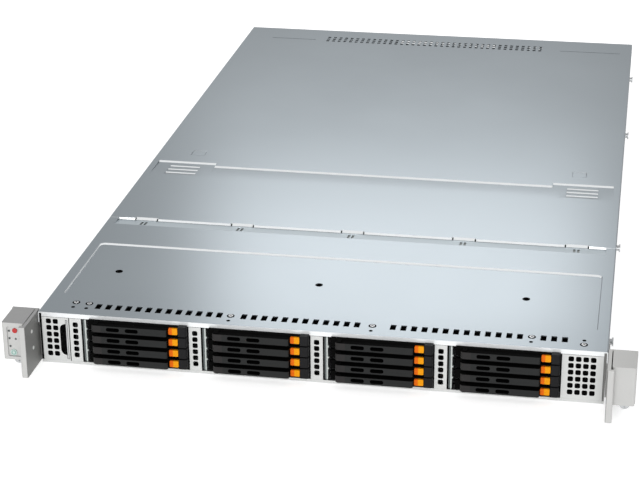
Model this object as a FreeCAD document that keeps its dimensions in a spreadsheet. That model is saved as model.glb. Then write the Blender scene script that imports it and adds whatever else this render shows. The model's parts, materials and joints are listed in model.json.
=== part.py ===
# A rack server one rack unit high: sixteen pull-out flash drives in four bays at the front,
# a row of fans behind them, two processors with their memory, and two power supplies.
# Frame: X to the right as seen from the front, Y to the back, Z up, in millimetres.
# The origin is the middle of the front bottom edge of the chassis, on the front panel plane.
import FreeCAD, Part
import os
import re
import Sketcher
from FreeCAD import Vector

# Driving dimensions
sizes = {
    # chassis tray and covers
    "width": 437,
    "height": 43,
    "depth": 787,
    "wall": 1.2,
    "lid": 0.9,
    "gap": 0.3,
    "fit": 0.1,
    "skirt": 9,
    "split": 195.5,
    "split_gap": 0.3,
    "ramp_half": 210,
    "ramp_long": 14,
    "ramp_deep": 1.6,
    "split_hem": 2,
    "tab_drop": 1.1,
    "lip_bottom": 39.3,
    "hem": 2.4,
    # pressed recess and vents of the front cover
    "recess": 1,
    "recess_half": 208.8,
    "recess_front": 34.8,
    "recess_long": 102.7,
    "recess_round": 4,
    "vent_pitch": 8,
    "vent_wide": 4.4,
    "vent_long": 8.8,
    "vent_back": 16.4,
    # tongues at the rear edge of the front cover, with two pressed strokes before each
    "tongue_wide": 17,
    "tongue_reach": 6,
    "notch_half": 9.6,
    "notch_wide": 1.2,
    "notch_long": 3,
    "stroke_wide": 2,
    "stroke_pitch": 3.4,
    "stroke_long": 8.5,
    "stroke_back": 182.5,
    "line_deep": 0.4,
    # drive bays
    "bays": 4,
    "rows": 4,
    "bay_pitch": 94.6,
    "first_divider": -189,
    "divider_wide": 9.5,
    "divider_deep": 12,
    "front_sheet": 0.8,
    "grille_hole": 4.1,
    "grille_pitch": 5.5,
    "divider_hole_pitch": 5.16,
    "bay_wall": 1.2,
    "bay_start": 8.1,
    "bay_wide": 79.9,
    "bay_flange_start": 6.1,
    "bay_flange_wide": 2.4,
    "bay_flange_bottom": 3.5,
    "bay_flange_top": 38.5,
    "tooth_wide": 0.8,
    "tooth_high": 1.2,
    "cage_deep": 124,
    "cage_top": 39.4,
    "cage_plate": 0.9,
    "rail_thick": 1,
    "rail_under": 2.1,
    # drives with their carriers
    "drive_wide": 76,
    "drive_long": 112.75,
    "drive_thick": 7,
    "drive_offset": 49.4,
    "row_first": 7.9,
    "row_pitch": 9.2,
    "carrier_deep": 12,
    "carrier_high": 7,
    "front_lift": 0.9,
    "front_high": 7.2,
    "lug_thick": 0.6,
    "end_wide": 6.4,
    "end_over": 1.6,
    "end_proud": 5,
    "end_high": 8,
    "windows": 3,
    "window_first": 16,
    "window_pitch": 14.6,
    "window_wide": 11,
    "window_high": 4.4,
    "tab_wide": 44,
    "tab_long": 4,
    "tab_thick": 1.6,
    "lever_inset": 4,
    "lever_long": 59.3,
    "lever_high": 5.5,
    "lever_thick": 6,
    "lever_proud": 9.5,
    "lever_round": 1.6,
    "lever_slot_first": 9.05,
    "lever_slot_pitch": 14.8,
    "lever_slot_wide": 10.3,
    "lever_slot_high": 3.2,
    "pin_radius": 0.8,
    "button_wide": 7,
    "button_high": 5.2,
    "button_gap": 0.4,
}

# Sizes of the pieces behind the bays and on the outside
sizes.update({
    # front corners: perforated panels and the pull-out card
    "left_panel_end": -194.4,
    "right_panel_start": 184.9,
    "right_grille_first": 191.7,
    "left_grille_first": -210.4,
    "grille_bottom": 8,
    "grille_rows": 6,
    "left_grille_columns": 2,
    "right_grille_columns": 4,
    "card_x": -196.2,
    "card_thick": 1,
    "card_bottom": 4,
    "card_high": 33,
    "card_long": 60,
    "finger_deep": 4.6,
    "finger_high": 26.4,
    # backplane and fans
    "board_thick": 1.6,
    "backplane_y": 131,
    "connector_wide": 50,
    "connector_high": 6.2,
    "connector_deep": 5.5,
    "opening_half": 15,
    "opening_bottom": 8,
    "opening_top": 34,
    "fans": 8,
    "fan_pitch": 52,
    "fan_size": 40,
    "fan_deep": 38,
    "fan_y": 225,
    "fan_bore": 18.6,
    "fan_round": 3,
    "strut": 2,
    "hub_radius": 8.5,
    "shaft_radius": 1.5,
    "blades": 5,
    "blade_thick": 1,
    "blade_chord": 17,
    "blade_root_chord": 12,
    "blade_root_turn": 50,
    "blade_tip_turn": 25,
    # main board and what it carries
    "board_z": 5,
    "board_front": 290,
    "post_radius": 3,
    "post_half": 195,
    "post_first": 12,
    "post_middle": 150,
    "post_last": 285,
    "rear_post_x": -30,
    "rear_post_pitch": 110,
    "rear_post_inset": 18,
    "chip_x": 60,
    "chip_y": 640,
    "chip_side": 35,
    "chip_high": 4,
    "chip_pitch": 70,
    "header_x": -150,
    "header_y": 8,
    "header_wide": 40,
    "header_long": 10,
    "header_high": 9,
    "header_pitch": 85,
    "processor_x": 107,
    "processor_y": 467,
    "socket_wide": 76,
    "socket_long": 100,
    "socket_high": 3,
    "sink_base": 4,
    "sink_high": 27,
    "fin_thick": 0.8,
    "fin_pitch": 3.4,
    "fins": 22,
    "memory_pitch": 7.6,
    "memory_count": 8,
    "memory_long": 133.35,
    "memory_high": 31.25,
    "memory_thick": 3.4,
    "memory_slot_high": 5,
    "memory_slot_rim": 1,
    "memory_slot_end": 4,
    "shroud_sheet": 1.2,
    "shroud_long": 154,
    "shroud_top": 39.8,
    "nose_long": 20,
    "nose_drop": 8,
    "port_long": 20,
    # power supplies
    "supply_wide": 73.5,
    "supply_high": 39,
    "supply_long": 185,
    "supply_shell": 1,
    "handle_reach": 24,
    "handle_rod": 1.6,
    "handle_bend": 5,
    "handle_aside": 7,
    "handle_inset": 4.5,
    "supply_vent": 3.6,
    "supply_vent_pitch": 5.2,
    "supply_vent_inset": 4,
    "supply_vent_columns": 5,
    "supply_vent_rows": 6,
    "inlet_wide": 27,
    "inlet_high": 20,
    "inlet_long": 16,
    "inlet_aside": 12,
    "inlet_proud": 1.5,
    "inlet_rim": 2,
    "latch_thick": 1.6,
    "latch_high": 15,
    "latch_arm": 22,
    "latch_reach": 13,
    "latch_pin": 1.2,
    "latch_tab": 4,
    # rear cover
    "thumb_deep": 1,
    "thumb_half": 212,
    "thumb_back": 337,
    "thumb_step": 7,
    "thumb_long": 34,
    "step_half": 157,
    "release_x": 179.8,
    "release_y": 364,
    "release_side": 12.4,
    "release_foot": 2,
    "ribs": 3,
    "rib_inner": 170.3,
    "rib_long": 28.3,
    "rib_first": 310,
    "rib_pitch": 9,
    "rib_ramp": 4,
    "rib_deep": 0.5,
    "rear_slot_first": -123.4,
    "rear_slot_pitch": 6.5,
    "rear_slots": 38,
    "rear_slot_wide": 3.2,
    "rear_slot_y": 746.4,
    "rear_slot_rows": 3,
    "rear_row_pitch": 6.6,
    "rear_slot_long": 4.4,
    "rear_line_y": 748.4,
    "rear_line_wide": 1.2,
    "rear_hole": 4.6,
    "rear_hole_pitch": 7,
    "rear_hole_start": -46,
    "rear_hole_bottom": 24,
    "rear_holes": 16,
    "rear_hole_rows": 2,
    "side_hole_start": 103,
    "side_hole_bottom": 10,
    "side_holes": 15,
    "side_hole_rows": 4,
    # ears, rack screws and rail studs
    "ear_gap": 0.5,
    "ear_plate": 2.5,
    "ear_front": 30,
    "ear_bead": 5,
    "ear_box_start": 222.3,
    "ear_box_end": 239.8,
    "ear_box_face": 23,
    "ear_box_bottom": 12,
    "ear_shell": 1.5,
    "flange_y": 4,
    "flange_sheet": 2,
    "flange_end": 240.4,
    "panel_end": 236,
    "panel_bottom": 14.7,
    "panel_top": 40.1,
    "panel_deep": 1.2,
    "light_radius": 0.9,
    "light_proud": 0.3,
    "ear_side_long": 34,
    "rack_half": 232.55,
    "rack_hole_z": 6.35,
    "screw_head": 4,
    "screw_shank": 2.4,
    "screw_head_deep": 14,
    "screw_long": 12,
    "cross_long": 5,
    "cross_wide": 1,
    "cross_deep": 1.4,
    "stud_z": 24,
    "stud_first": 57.5,
    "stud_radius": 2.4,
    "stud_head": 3.6,
    "stud_reach": 4.2,
    "stud_last": 70,
    "stud_near": 0.28,
    "stud_far": 0.72,
})

doc = FreeCAD.newDocument("rack_server")
sheet = doc.addObject("Spreadsheet::Sheet", "Sizes")
for line, (alias, size) in enumerate(sizes.items(), 1):
    sheet.set("A%d" % line, alias)
    sheet.set("B%d" % line, str(size))
    sheet.setAlias("B%d" % line, alias)
doc.recompute()


# Formulas name the sizes of the sheet by their aliases
def swap_names(formula, name_of):
    return re.sub(r"[A-Za-z_]\w*", lambda word: name_of(word.group(0)), formula)


def linked(formula):
    return swap_names(formula, lambda word: "Sizes." + word if word in sizes else word)


def number(formula):
    plain = swap_names(formula, lambda word: "(%r)" % sizes[word] if word in sizes else word)
    return FreeCAD.Units.Quantity(plain).Value


# Bodies, sketches and features, each size held by a formula
ORIGIN_PLANES = {"XY": "XY_Plane", "XZ": "XZ_Plane", "YZ": "YZ_Plane"}
ORIGIN_AXES = {"X": "X_Axis", "Y": "Y_Axis", "Z": "Z_Axis"}
sub_parts = []


def new_body(label, x="0", y="0", z="0"):
    body = doc.addObject("PartDesign::Body", label)
    body.Label = label
    body.AllowCompound = True
    for way, formula in zip("xyz", (x, y, z)):
        body.setExpression("Placement.Base." + way, linked(formula))
    sub_parts.append(body)
    return body


def origin_part(body, role):
    return [part for part in body.Origin.OriginFeatures if part.Role == role][0]


# A sketch on an origin plane; its level is measured along the plane's positive axis
def new_sketch(body, plane, level):
    sketch = body.newObject("Sketcher::SketchObject", body.Name + "_sketch")
    sketch.AttachmentSupport = [(origin_part(body, ORIGIN_PLANES[plane]), "")]
    sketch.MapMode = "FlatFace"
    towards = "-1" if plane == "XZ" else "1"
    sketch.setExpression("AttachmentOffset.Base.z", linked("%s * (%s)" % (towards, level)))
    return sketch


def hold(sketch, kind, formula, *places):
    index = sketch.addConstraint(Sketcher.Constraint(kind, *places, number(formula)))
    sketch.setExpression("Constraints[%d]" % index, linked(formula))


def pin_point(sketch, piece, end, x, y):
    hold(sketch, "DistanceX", x, -1, 1, piece, end)
    hold(sketch, "DistanceY", y, -1, 1, piece, end)


# A closed outline through points (x, y), or (x, y, radius) for a rounded square corner
def draw_outline(sketch, points):
    count = len(points)
    flat = [Vector(number(point[0]), number(point[1]), 0) for point in points]
    ends = []
    for index, point in enumerate(points):
        if len(point) == 2:
            ends.append([(point[0], point[1])] * 2)
            continue
        pair = []
        for other in (flat[index - 1], flat[(index + 1) % count]):
            way = other - flat[index]
            steps = [0 if abs(part) < 1e-9 else part / abs(part) for part in (way.x, way.y)]
            pair.append(tuple("%s + (%d) * (%s)" % (at, step, point[2]) for at, step in zip(point, steps)))
        ends.append(pair)
    first = sketch.GeometryCount
    for index in range(count):
        start = ends[index][1]
        stop = ends[(index + 1) % count][0]
        tips = [Vector(number(x), number(y), 0) for x, y in (start, stop)]
        sketch.addGeometry(Part.LineSegment(*tips), False)
    for index, point in enumerate(points):
        before = first + (index - 1) % count
        after = first + index
        pin_point(sketch, after, 1, *ends[index][1])
        if len(point) == 2:
            sketch.addConstraint(Sketcher.Constraint("Coincident", before, 2, after, 1))
            continue
        pin_point(sketch, before, 2, *ends[index][0])
        draw_corner(sketch, before, after, flat[index], point[2])


def draw_corner(sketch, before, after, corner, radius):
    start = sketch.getPoint(before, 2)
    stop = sketch.getPoint(after, 1)
    centre = start + stop - corner
    middle = centre + (corner - centre).normalize() * number(radius)
    arc = sketch.addGeometry(Part.Arc(start, middle, stop), False)
    near_start = (sketch.getPoint(arc, 1) - start).Length < (sketch.getPoint(arc, 2) - start).Length
    arc_start, arc_stop = (1, 2) if near_start else (2, 1)
    sketch.addConstraint(Sketcher.Constraint("Coincident", arc, arc_start, before, 2))
    sketch.addConstraint(Sketcher.Constraint("Coincident", arc, arc_stop, after, 1))
    hold(sketch, "Radius", radius, arc)


def draw_box(sketch, left, bottom, right, top, radius=None):
    corners = [(left, bottom), (right, bottom), (right, top), (left, top)]
    draw_outline(sketch, [corner + (radius,) for corner in corners] if radius else corners)


def draw_circle(sketch, x, y, radius):
    centre = Vector(number(x), number(y), 0)
    ring = sketch.addGeometry(Part.Circle(centre, Vector(0, 0, 1), number(radius)), False)
    pin_point(sketch, ring, 3, x, y)
    hold(sketch, "Radius", radius, ring)


def add_feature(body, kind, sketch, length):
    feature = body.newObject("PartDesign::" + kind, body.Name + "_" + kind.lower())
    feature.Profile = sketch
    feature.setExpression("Length", linked(length))
    on_front_plane = sketch.AttachmentSupport[0][0].Role == "XZ_Plane"
    feature.Reversed = on_front_plane if kind == "Pad" else not on_front_plane
    sketch.Visibility = False
    body.Tip = feature
    return feature


# Pads and pockets start at their sketch and run along the plane's positive axis
def pad_box(body, plane, level, corners, length, radius=None):
    sketch = new_sketch(body, plane, level)
    draw_box(sketch, *corners, radius)
    return add_feature(body, "Pad", sketch, length)


def cut_box(body, plane, level, corners, length, radius=None):
    sketch = new_sketch(body, plane, level)
    draw_box(sketch, *corners, radius)
    return add_feature(body, "Pocket", sketch, length)


def pad_outline(body, plane, level, points, length):
    sketch = new_sketch(body, plane, level)
    draw_outline(sketch, points)
    return add_feature(body, "Pad", sketch, length)


def cut_outline(body, plane, level, points, length):
    sketch = new_sketch(body, plane, level)
    draw_outline(sketch, points)
    return add_feature(body, "Pocket", sketch, length)


def pad_round(body, plane, level, x, y, radius, length):
    sketch = new_sketch(body, plane, level)
    draw_circle(sketch, x, y, radius)
    return add_feature(body, "Pad", sketch, length)


def cut_round(body, plane, level, x, y, radius, length):
    sketch = new_sketch(body, plane, level)
    draw_circle(sketch, x, y, radius)
    return add_feature(body, "Pocket", sketch, length)


# Repeats features in straight runs, each given as (axis, pitch, count)
def repeat(body, features, *runs):
    pattern = body.newObject("PartDesign::MultiTransform", body.Name + "_repeat")
    pattern.Originals = features
    steps = []
    for axis, pitch, count in runs:
        run = body.newObject("PartDesign::LinearPattern", body.Name + "_run")
        run.Direction = (origin_part(body, ORIGIN_AXES[axis]), [""])
        run.setExpression("Length", linked("(%s) * (%s - 1)" % (pitch, count)))
        run.setExpression("Occurrences", linked(count))
        steps.append(run)
    pattern.Transformations = steps
    body.Tip = pattern
    return pattern


# Plain blocks in straight runs: corner and size by formula, runs as (axis, pitch, count)
def block_grid(name, corner, size, *runs):
    blocks = [dict(zip("xyz", corner))]
    for axis, pitch, count in runs:
        steps = range(int(number(count)))
        way = axis.lower()
        blocks = [dict(at, **{way: "%s + %d * (%s)" % (at[way], step, pitch)}) for at in blocks for step in steps]
    made = []
    for at in blocks:
        block = doc.addObject("Part::Box", name)
        for side, formula in zip(("Length", "Width", "Height"), size):
            block.setExpression(side, linked(formula))
        for way, formula in at.items():
            block.setExpression("Placement.Base." + way, linked(formula))
        made.append(block)
    return made


# Joins a finished body with plain blocks: the result takes the body's label and place in the list
def with_blocks(body, blocks, kind):
    label = body.Label
    body.Label = label + "_blank"
    if kind == "Cut":
        tool = doc.addObject("Part::Compound", label + "_holes")
        tool.Links = blocks
        result = doc.addObject("Part::Cut", label + "_part")
        result.Refine = False
        result.Base = body
        result.Tool = tool
    else:
        result = doc.addObject("Part::MultiFuse", label + "_part")
        result.Shapes = [body] + blocks
    result.Label = label
    sub_parts[sub_parts.index(body)] = result
    return result


def mirror(body, features, plane="YZ"):
    copy = body.newObject("PartDesign::Mirrored", body.Name + "_mirror")
    copy.Originals = features
    copy.MirrorPlane = (origin_part(body, ORIGIN_PLANES[plane]), [""])
    body.Tip = copy
    return copy


# Places that several pieces share
TRAY_HALF = "(width / 2 - lid - gap)"
TRAY_TOP = "(height - lid - gap)"
COVER_UNDER = "(height - lid)"
CARRIER_FACE = "(lever_thick - lever_proud + gap)"
PIN_Y = "(lever_thick / 2 - lever_proud)"
DRIVE_END = "(carrier_deep + drive_long)"
BOARD_TOP = "(board_z + board_thick)"
SUPPLY_START = "(-width / 2 + lid + gap + wall + 2 * gap)"
SUPPLY_PITCH = "(supply_wide + 2 * gap + wall)"
SUPPLY_BOTTOM = "(wall + gap)"
SUPPLY_FRONT = "(depth - supply_long)"
SUPPLY_SIDE = "(%s + 2 * %s - gap)" % (SUPPLY_START, SUPPLY_PITCH)


def drive_x(bay):
    return "(first_divider + drive_offset + %d * bay_pitch)" % bay


def drive_z(row):
    return "(row_first + %d * row_pitch)" % row


# The connectors along the rear edge: centre in X, width, bottom above the board, height
REAR_PORTS = [
    (-48, 17, 0, 8.5),
    (-20, 16, 0, 13.5),
    (2, 16, 0, 13.5),
    (26, 14.5, 0, 7),
    (46, 14.5, 0, 7),
    (72, 31, 0, 12.5),
]
PORT_CLEAR = "(2 * gap)"


# Bottom tray: floor, side walls, rear wall with its openings, supply walls and board posts
def chassis_base():
    body = new_body("chassis_base")
    left = "-" + TRAY_HALF
    inner_left = left + " + wall"
    inner_right = TRAY_HALF + " - wall"
    pad_outline(body, "XZ", "0", [
        (left, "0"), (TRAY_HALF, "0"), (TRAY_HALF, TRAY_TOP), (inner_right, TRAY_TOP),
        (inner_right, "wall"), (inner_left, "wall"), (inner_left, TRAY_TOP), (left, TRAY_TOP),
    ], "depth")
    pad_box(body, "XZ", "0", (inner_left, "wall", inner_right, "hem"), "wall")
    pad_box(body, "XZ", "depth - wall", (inner_left, "wall", inner_right, TRAY_TOP), "wall")
    supply_wall = "%s + supply_wide + gap" % SUPPLY_START
    wall_corners = (supply_wall, SUPPLY_FRONT, supply_wall + " + wall", "depth - wall")
    partition = pad_box(body, "XY", "wall", wall_corners, "supply_high")
    repeat(body, [partition], ("X", SUPPLY_PITCH, "2"))
    mouth_left = "%s - gap" % SUPPLY_START
    mouth_right = "%s + supply_wide + gap" % SUPPLY_START
    mouth_top = SUPPLY_BOTTOM + " + supply_high + gap"
    mouth = cut_box(body, "XZ", "depth - wall", (mouth_left, "wall", mouth_right, mouth_top), "wall")
    repeat(body, [mouth], ("X", SUPPLY_PITCH, "2"))
    for x, wide, bottom, high in REAR_PORTS:
        port_left = "%g - %s" % (x - wide / 2, PORT_CLEAR)
        port_right = "%g + %s" % (x + wide / 2, PORT_CLEAR)
        port_bottom = "%s + %g - %s" % (BOARD_TOP, bottom, PORT_CLEAR)
        port_top = "%s + %g + %s" % (BOARD_TOP, bottom + high, PORT_CLEAR)
        cut_box(body, "XZ", "depth - wall", (port_left, port_bottom, port_right, port_top), "wall")
    for place in ("post_first", "post_middle", "post_last"):
        post_y = "board_front + " + place
        post = pad_round(body, "XY", "wall", "-post_half", post_y, "post_radius", "board_z - wall")
        repeat(body, [post], ("X", "post_half", "3"))
    rear_post_y = "depth - rear_post_inset"
    rear_post = pad_round(body, "XY", "wall", "rear_post_x", rear_post_y, "post_radius", "board_z - wall")
    repeat(body, [rear_post], ("X", "rear_post_pitch", "3"))
    # air holes over the ports and beside them
    rear = "depth - wall - gap"
    hole = ("rear_hole", "wall + 2 * gap", "rear_hole")
    holes = block_grid("rear_hole", ("rear_hole_start", rear, "rear_hole_bottom"), hole,
                       ("X", "rear_hole_pitch", "rear_holes"), ("Z", "rear_hole_pitch", "rear_hole_rows"))
    holes += block_grid("rear_hole", ("side_hole_start", rear, "side_hole_bottom"), hole,
                        ("X", "rear_hole_pitch", "side_holes"), ("Z", "rear_hole_pitch", "side_hole_rows"))
    return with_blocks(body, holes, "Cut")


# Screws that hold the front cover: their places as seen from above
COVER_SCREWS = [
    (-194, 21), (-183.3, 20.4), (-69.7, 16.4), (40.4, 16.4), (161.1, 17), (200.2, 10),
    (-178.3, 86), (-13.4, 86), (151.7, 86),
]
SCREW_HEAD = "2.2"
SCREW_SHANK = "1.3"
SCREW_HEAD_HIGH = "0.6"
SCREW_BELOW = "0.2"
FIELD_SCREWS = 3
# Middles of the five tongues that tuck under the rear cover
TONGUES = ["-185.5", "-100.6", "-4.5", "90.9", "185.7"]
# The runs of vents: the first one's middle and how many there are
VENT_RUNS = [("-174.6", "13"), ("-59.4", "12"), ("56.2", "13"), ("169.8", "3")]


def cover_screw_top(index):
    in_recess = index >= len(COVER_SCREWS) - FIELD_SCREWS
    return "(height - recess)" if in_recess else "height"


# A cover pan: flat top with both edges folded down outside the tray
def cover_pan(body, front, long):
    half = "width / 2"
    pad_outline(body, "XZ", front, [
        ("-" + half, "height - skirt"), ("-%s + lid" % half, "height - skirt"),
        ("-%s + lid" % half, COVER_UNDER), (half + " - lid", COVER_UNDER),
        (half + " - lid", "height - skirt"), (half, "height - skirt"),
        (half, "height", "lid"), ("-" + half, "height", "lid"),
    ], long)


def front_cover():
    body = new_body("front_cover")
    cover_pan(body, "0", "split")
    lip_edge = "%s - wall - gap" % TRAY_HALF
    pad_box(body, "XZ", "0", ("-(%s)" % lip_edge, "lip_bottom", lip_edge, COVER_UNDER), "lid")
    recess_back = "recess_front + recess_long"
    outer = ("-recess_half - lid", "recess_front - lid", "recess_half + lid", recess_back + " + lid")
    inner = ("-recess_half", "recess_front", "recess_half", recess_back)
    pad_box(body, "XY", COVER_UNDER + " - recess", outer, "recess", "recess_round")
    cut_box(body, "XY", "height - recess", inner, "recess", "recess_round")
    for index, (x, y) in enumerate(COVER_SCREWS):
        top = cover_screw_top(index)
        cut_round(body, "XY", top + " - lid", str(x), str(y), SCREW_SHANK + " + fit", "lid")
    # the rear margin slopes down, so the rear cover's front edge shows above it
    ramp_front = "split - ramp_long"
    under = ("-ramp_half - lid", ramp_front, "ramp_half + lid", "split")
    pad_box(body, "XY", COVER_UNDER + " - ramp_deep", under, "ramp_deep")
    sketch = new_sketch(body, "YZ", "-ramp_half")
    draw_outline(sketch, [(ramp_front, "height"), ("split", "height - ramp_deep"), ("split", "height")])
    add_feature(body, "Pocket", sketch, "2 * ramp_half")
    for x in TONGUES:
        tongue = (x + " - tongue_wide / 2", "split - tongue_reach", x + " + tongue_wide / 2",
                  "split + tongue_reach")
        pad_box(body, "XY", "height - ramp_deep - gap - lid", tongue, "lid")
    cuts = []
    vent = ("vent_wide", "vent_long", "lid + 2 * gap")
    for first, count in VENT_RUNS:
        corner = (first + " - vent_wide / 2", "vent_back - vent_long / 2", COVER_UNDER + " - gap")
        cuts += block_grid("vent", corner, vent, ("X", "vent_pitch", count))
    stroke = ("stroke_wide", "stroke_long", "ramp_deep + gap")
    for x in TONGUES:
        corner = (x + " - stroke_pitch / 2 - stroke_wide / 2", "stroke_back", "height - ramp_deep")
        cuts += block_grid("stroke", corner, stroke, ("X", "stroke_pitch", "2"))
    return with_blocks(body, cuts, "Cut")


# The screws' heads sit flat on the covers and their shanks reach into the cage
def cover_screws():
    body = new_body("cover_screws")
    for index, (x, y) in enumerate(COVER_SCREWS):
        top = cover_screw_top(index)
        pad_round(body, "XY", top, str(x), str(y), SCREW_HEAD, SCREW_HEAD_HIGH)
        shank_foot = "%s - lid - %s" % (top, SCREW_BELOW)
        pad_round(body, "XY", shank_foot, str(x), str(y), SCREW_SHANK, "lid + " + SCREW_BELOW)
    return body


# Pressed lines near the rear edge: where each starts and how long it is
REAR_LINES = [("-188", "50"), ("139", "66.6")]


def rear_cover():
    body = new_body("rear_cover")
    front = "split + split_gap"
    cover_pan(body, front, "depth - (%s)" % front)
    # a wedge pressed into the top, deepest at the step where the thumbs push
    step_back = "thumb_back"
    wedge_front = "thumb_back - thumb_long"
    under = ("-thumb_half - lid", wedge_front, "thumb_half + lid", "thumb_back + lid")
    pad_box(body, "XY", COVER_UNDER + " - thumb_deep", under, "thumb_deep")

    def wedge(left, right, back):
        sketch = new_sketch(body, "YZ", left)
        draw_outline(sketch, [(wedge_front, "height"), (back, "height - thumb_deep"), (back, "height")])
        add_feature(body, "Pocket", sketch, "(%s) - (%s)" % (right, left))

    wedge("-thumb_half", "-step_half", step_back)
    wedge("-step_half", "step_half", step_back + " - thumb_step")
    wedge("step_half", "thumb_half", step_back)
    hole = "release_side / 2 + gap"
    for side in ("-release_x", "release_x"):
        corners = ("%s - (%s)" % (side, hole), "release_y - (%s)" % hole,
                   "%s + %s" % (side, hole), "release_y + %s" % hole)
        cut_box(body, "XY", COVER_UNDER, corners, "lid")
    # the front edge is folded down and dips between each pair of notches
    hem = ("-ramp_half", front, "ramp_half", front + " + split_hem")
    pad_box(body, "XY", "height - ramp_deep", hem, "ramp_deep - lid")
    for x in TONGUES:
        sketch = new_sketch(body, "YZ", x + " - notch_half")
        draw_outline(sketch, [(front, "height - tab_drop"), (front + " + notch_long", "height"),
                              (front, "height")])
        add_feature(body, "Pocket", sketch, "2 * notch_half")
    # ribs for the thumbs: each a ramp down to a small step that faces forward
    ribs = []
    for index in range(sizes["ribs"]):
        y = "(rib_first + %d * rib_pitch)" % index
        sketch = new_sketch(body, "YZ", "rib_inner")
        draw_outline(sketch, [(y + " - rib_ramp", wedge_level(y + " - rib_ramp")),
                              (y, wedge_level(y) + " - rib_deep"), (y, "height")])
        ribs.append(add_feature(body, "Pocket", sketch, "rib_long"))
    mirror(body, ribs)
    corner = ("rear_slot_first - rear_slot_wide / 2", "rear_slot_y - rear_slot_long / 2", COVER_UNDER + " - gap")
    size = ("rear_slot_wide", "rear_slot_long", "lid + 2 * gap")
    cuts = block_grid("rear_slot", corner, size, ("X", "rear_slot_pitch", "rear_slots"),
                      ("Y", "rear_row_pitch", "rear_slot_rows"))
    notch = ("notch_wide", "notch_long + gap", "ramp_deep + 2 * gap")
    for x in TONGUES:
        corner = (x + " - notch_half - notch_wide / 2", front + " - gap", "height - ramp_deep - gap")
        cuts += block_grid("notch", corner, notch, ("X", "2 * notch_half", "2"))
    for start, long in REAR_LINES:
        corner = (start, "rear_line_y", "height - line_deep")
        cuts += block_grid("rear_line", corner, (long, "rear_line_wide", "line_deep + gap"))
    return with_blocks(body, cuts, "Cut")


# Height of the pressed wedge at a place in Y
def wedge_level(y):
    return "height - thumb_deep * (%s - (thumb_back - thumb_long)) / thumb_long" % y


# Square push release, flush in the rear cover, with a wider foot under the sheet
def cover_release(label, side):
    body = new_body(label, "%s * release_x" % side, "release_y")
    half = "release_side / 2"
    foot = "release_side / 2 + release_foot"
    foot_top = COVER_UNDER + " - gap"
    pad_box(body, "XY", foot_top, ("-" + half, "-" + half, half, half), "lid + gap")
    pad_box(body, "XY", foot_top + " - lid", ("-(%s)" % foot, "-(%s)" % foot, foot, foot), "lid")
    return body


# Perforated panels at both front corners and the narrow dividers between the bays
def front_grilles():
    body = new_body("front_grilles")
    top = "lip_bottom - gap"
    bottom = "wall + gap"
    inner_deep = "divider_deep"

    def channel(left, right):
        return pad_outline(body, "XY", "hem", [
            (left, "0"), (right, "0"), (right, inner_deep), (right + " - front_sheet", inner_deep),
            (right + " - front_sheet", "front_sheet"), (left + " + front_sheet", "front_sheet"),
            (left + " + front_sheet", inner_deep), (left, inner_deep),
        ], "%s - hem" % top)

    panel_edge = "(%s - wall - gap)" % TRAY_HALF
    channel("-" + panel_edge, "left_panel_end")
    channel("right_panel_start", panel_edge)
    divider = channel("first_divider - divider_wide / 2", "first_divider + divider_wide / 2")
    repeat(body, [divider], ("X", "bay_pitch", "bays"))
    # the finger cut beside the card, round on its left, and the card's own slot
    slot_left = "card_x - card_thick / 2 - gap"
    slot_right = "card_x + card_thick / 2 + gap"
    middle = "(card_bottom + card_high / 2)"
    cut_outline(body, "XZ", "0", [
        (slot_left + " - finger_deep", middle + " - finger_high / 2", "finger_deep - fit"),
        (slot_left, middle + " - finger_high / 2"), (slot_left, middle + " + finger_high / 2"),
        (slot_left + " - finger_deep", middle + " + finger_high / 2", "finger_deep - fit"),
    ], "front_sheet")
    slot = (slot_left, "card_bottom - gap", slot_right, "card_bottom + card_high + gap")
    cut_box(body, "XZ", "0", slot, "front_sheet")
    holes = []
    for first, across, count, up in (
            ("left_grille_first", "grille_pitch", "left_grille_columns", "grille_pitch"),
            ("first_divider", "bay_pitch", "bays", "divider_hole_pitch"),
            ("right_grille_first", "grille_pitch", "right_grille_columns", "grille_pitch")):
        corner = (first + " - grille_hole / 2", "-gap", "grille_bottom - grille_hole / 2")
        size = ("grille_hole", "front_sheet + 2 * gap", "grille_hole")
        holes += block_grid("grille_hole", corner, size, ("X", across, count), ("Z", up, "grille_rows"))
    return with_blocks(body, holes, "Cut")


# Pull-out card beside the left grille, its front edge in the finger cut
def service_tag():
    body = new_body("service_tag")
    left = "card_x - card_thick / 2"
    pad_box(body, "YZ", left, ("0", "card_bottom", "card_long", "card_bottom + card_high"), "card_thick")
    return body


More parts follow.
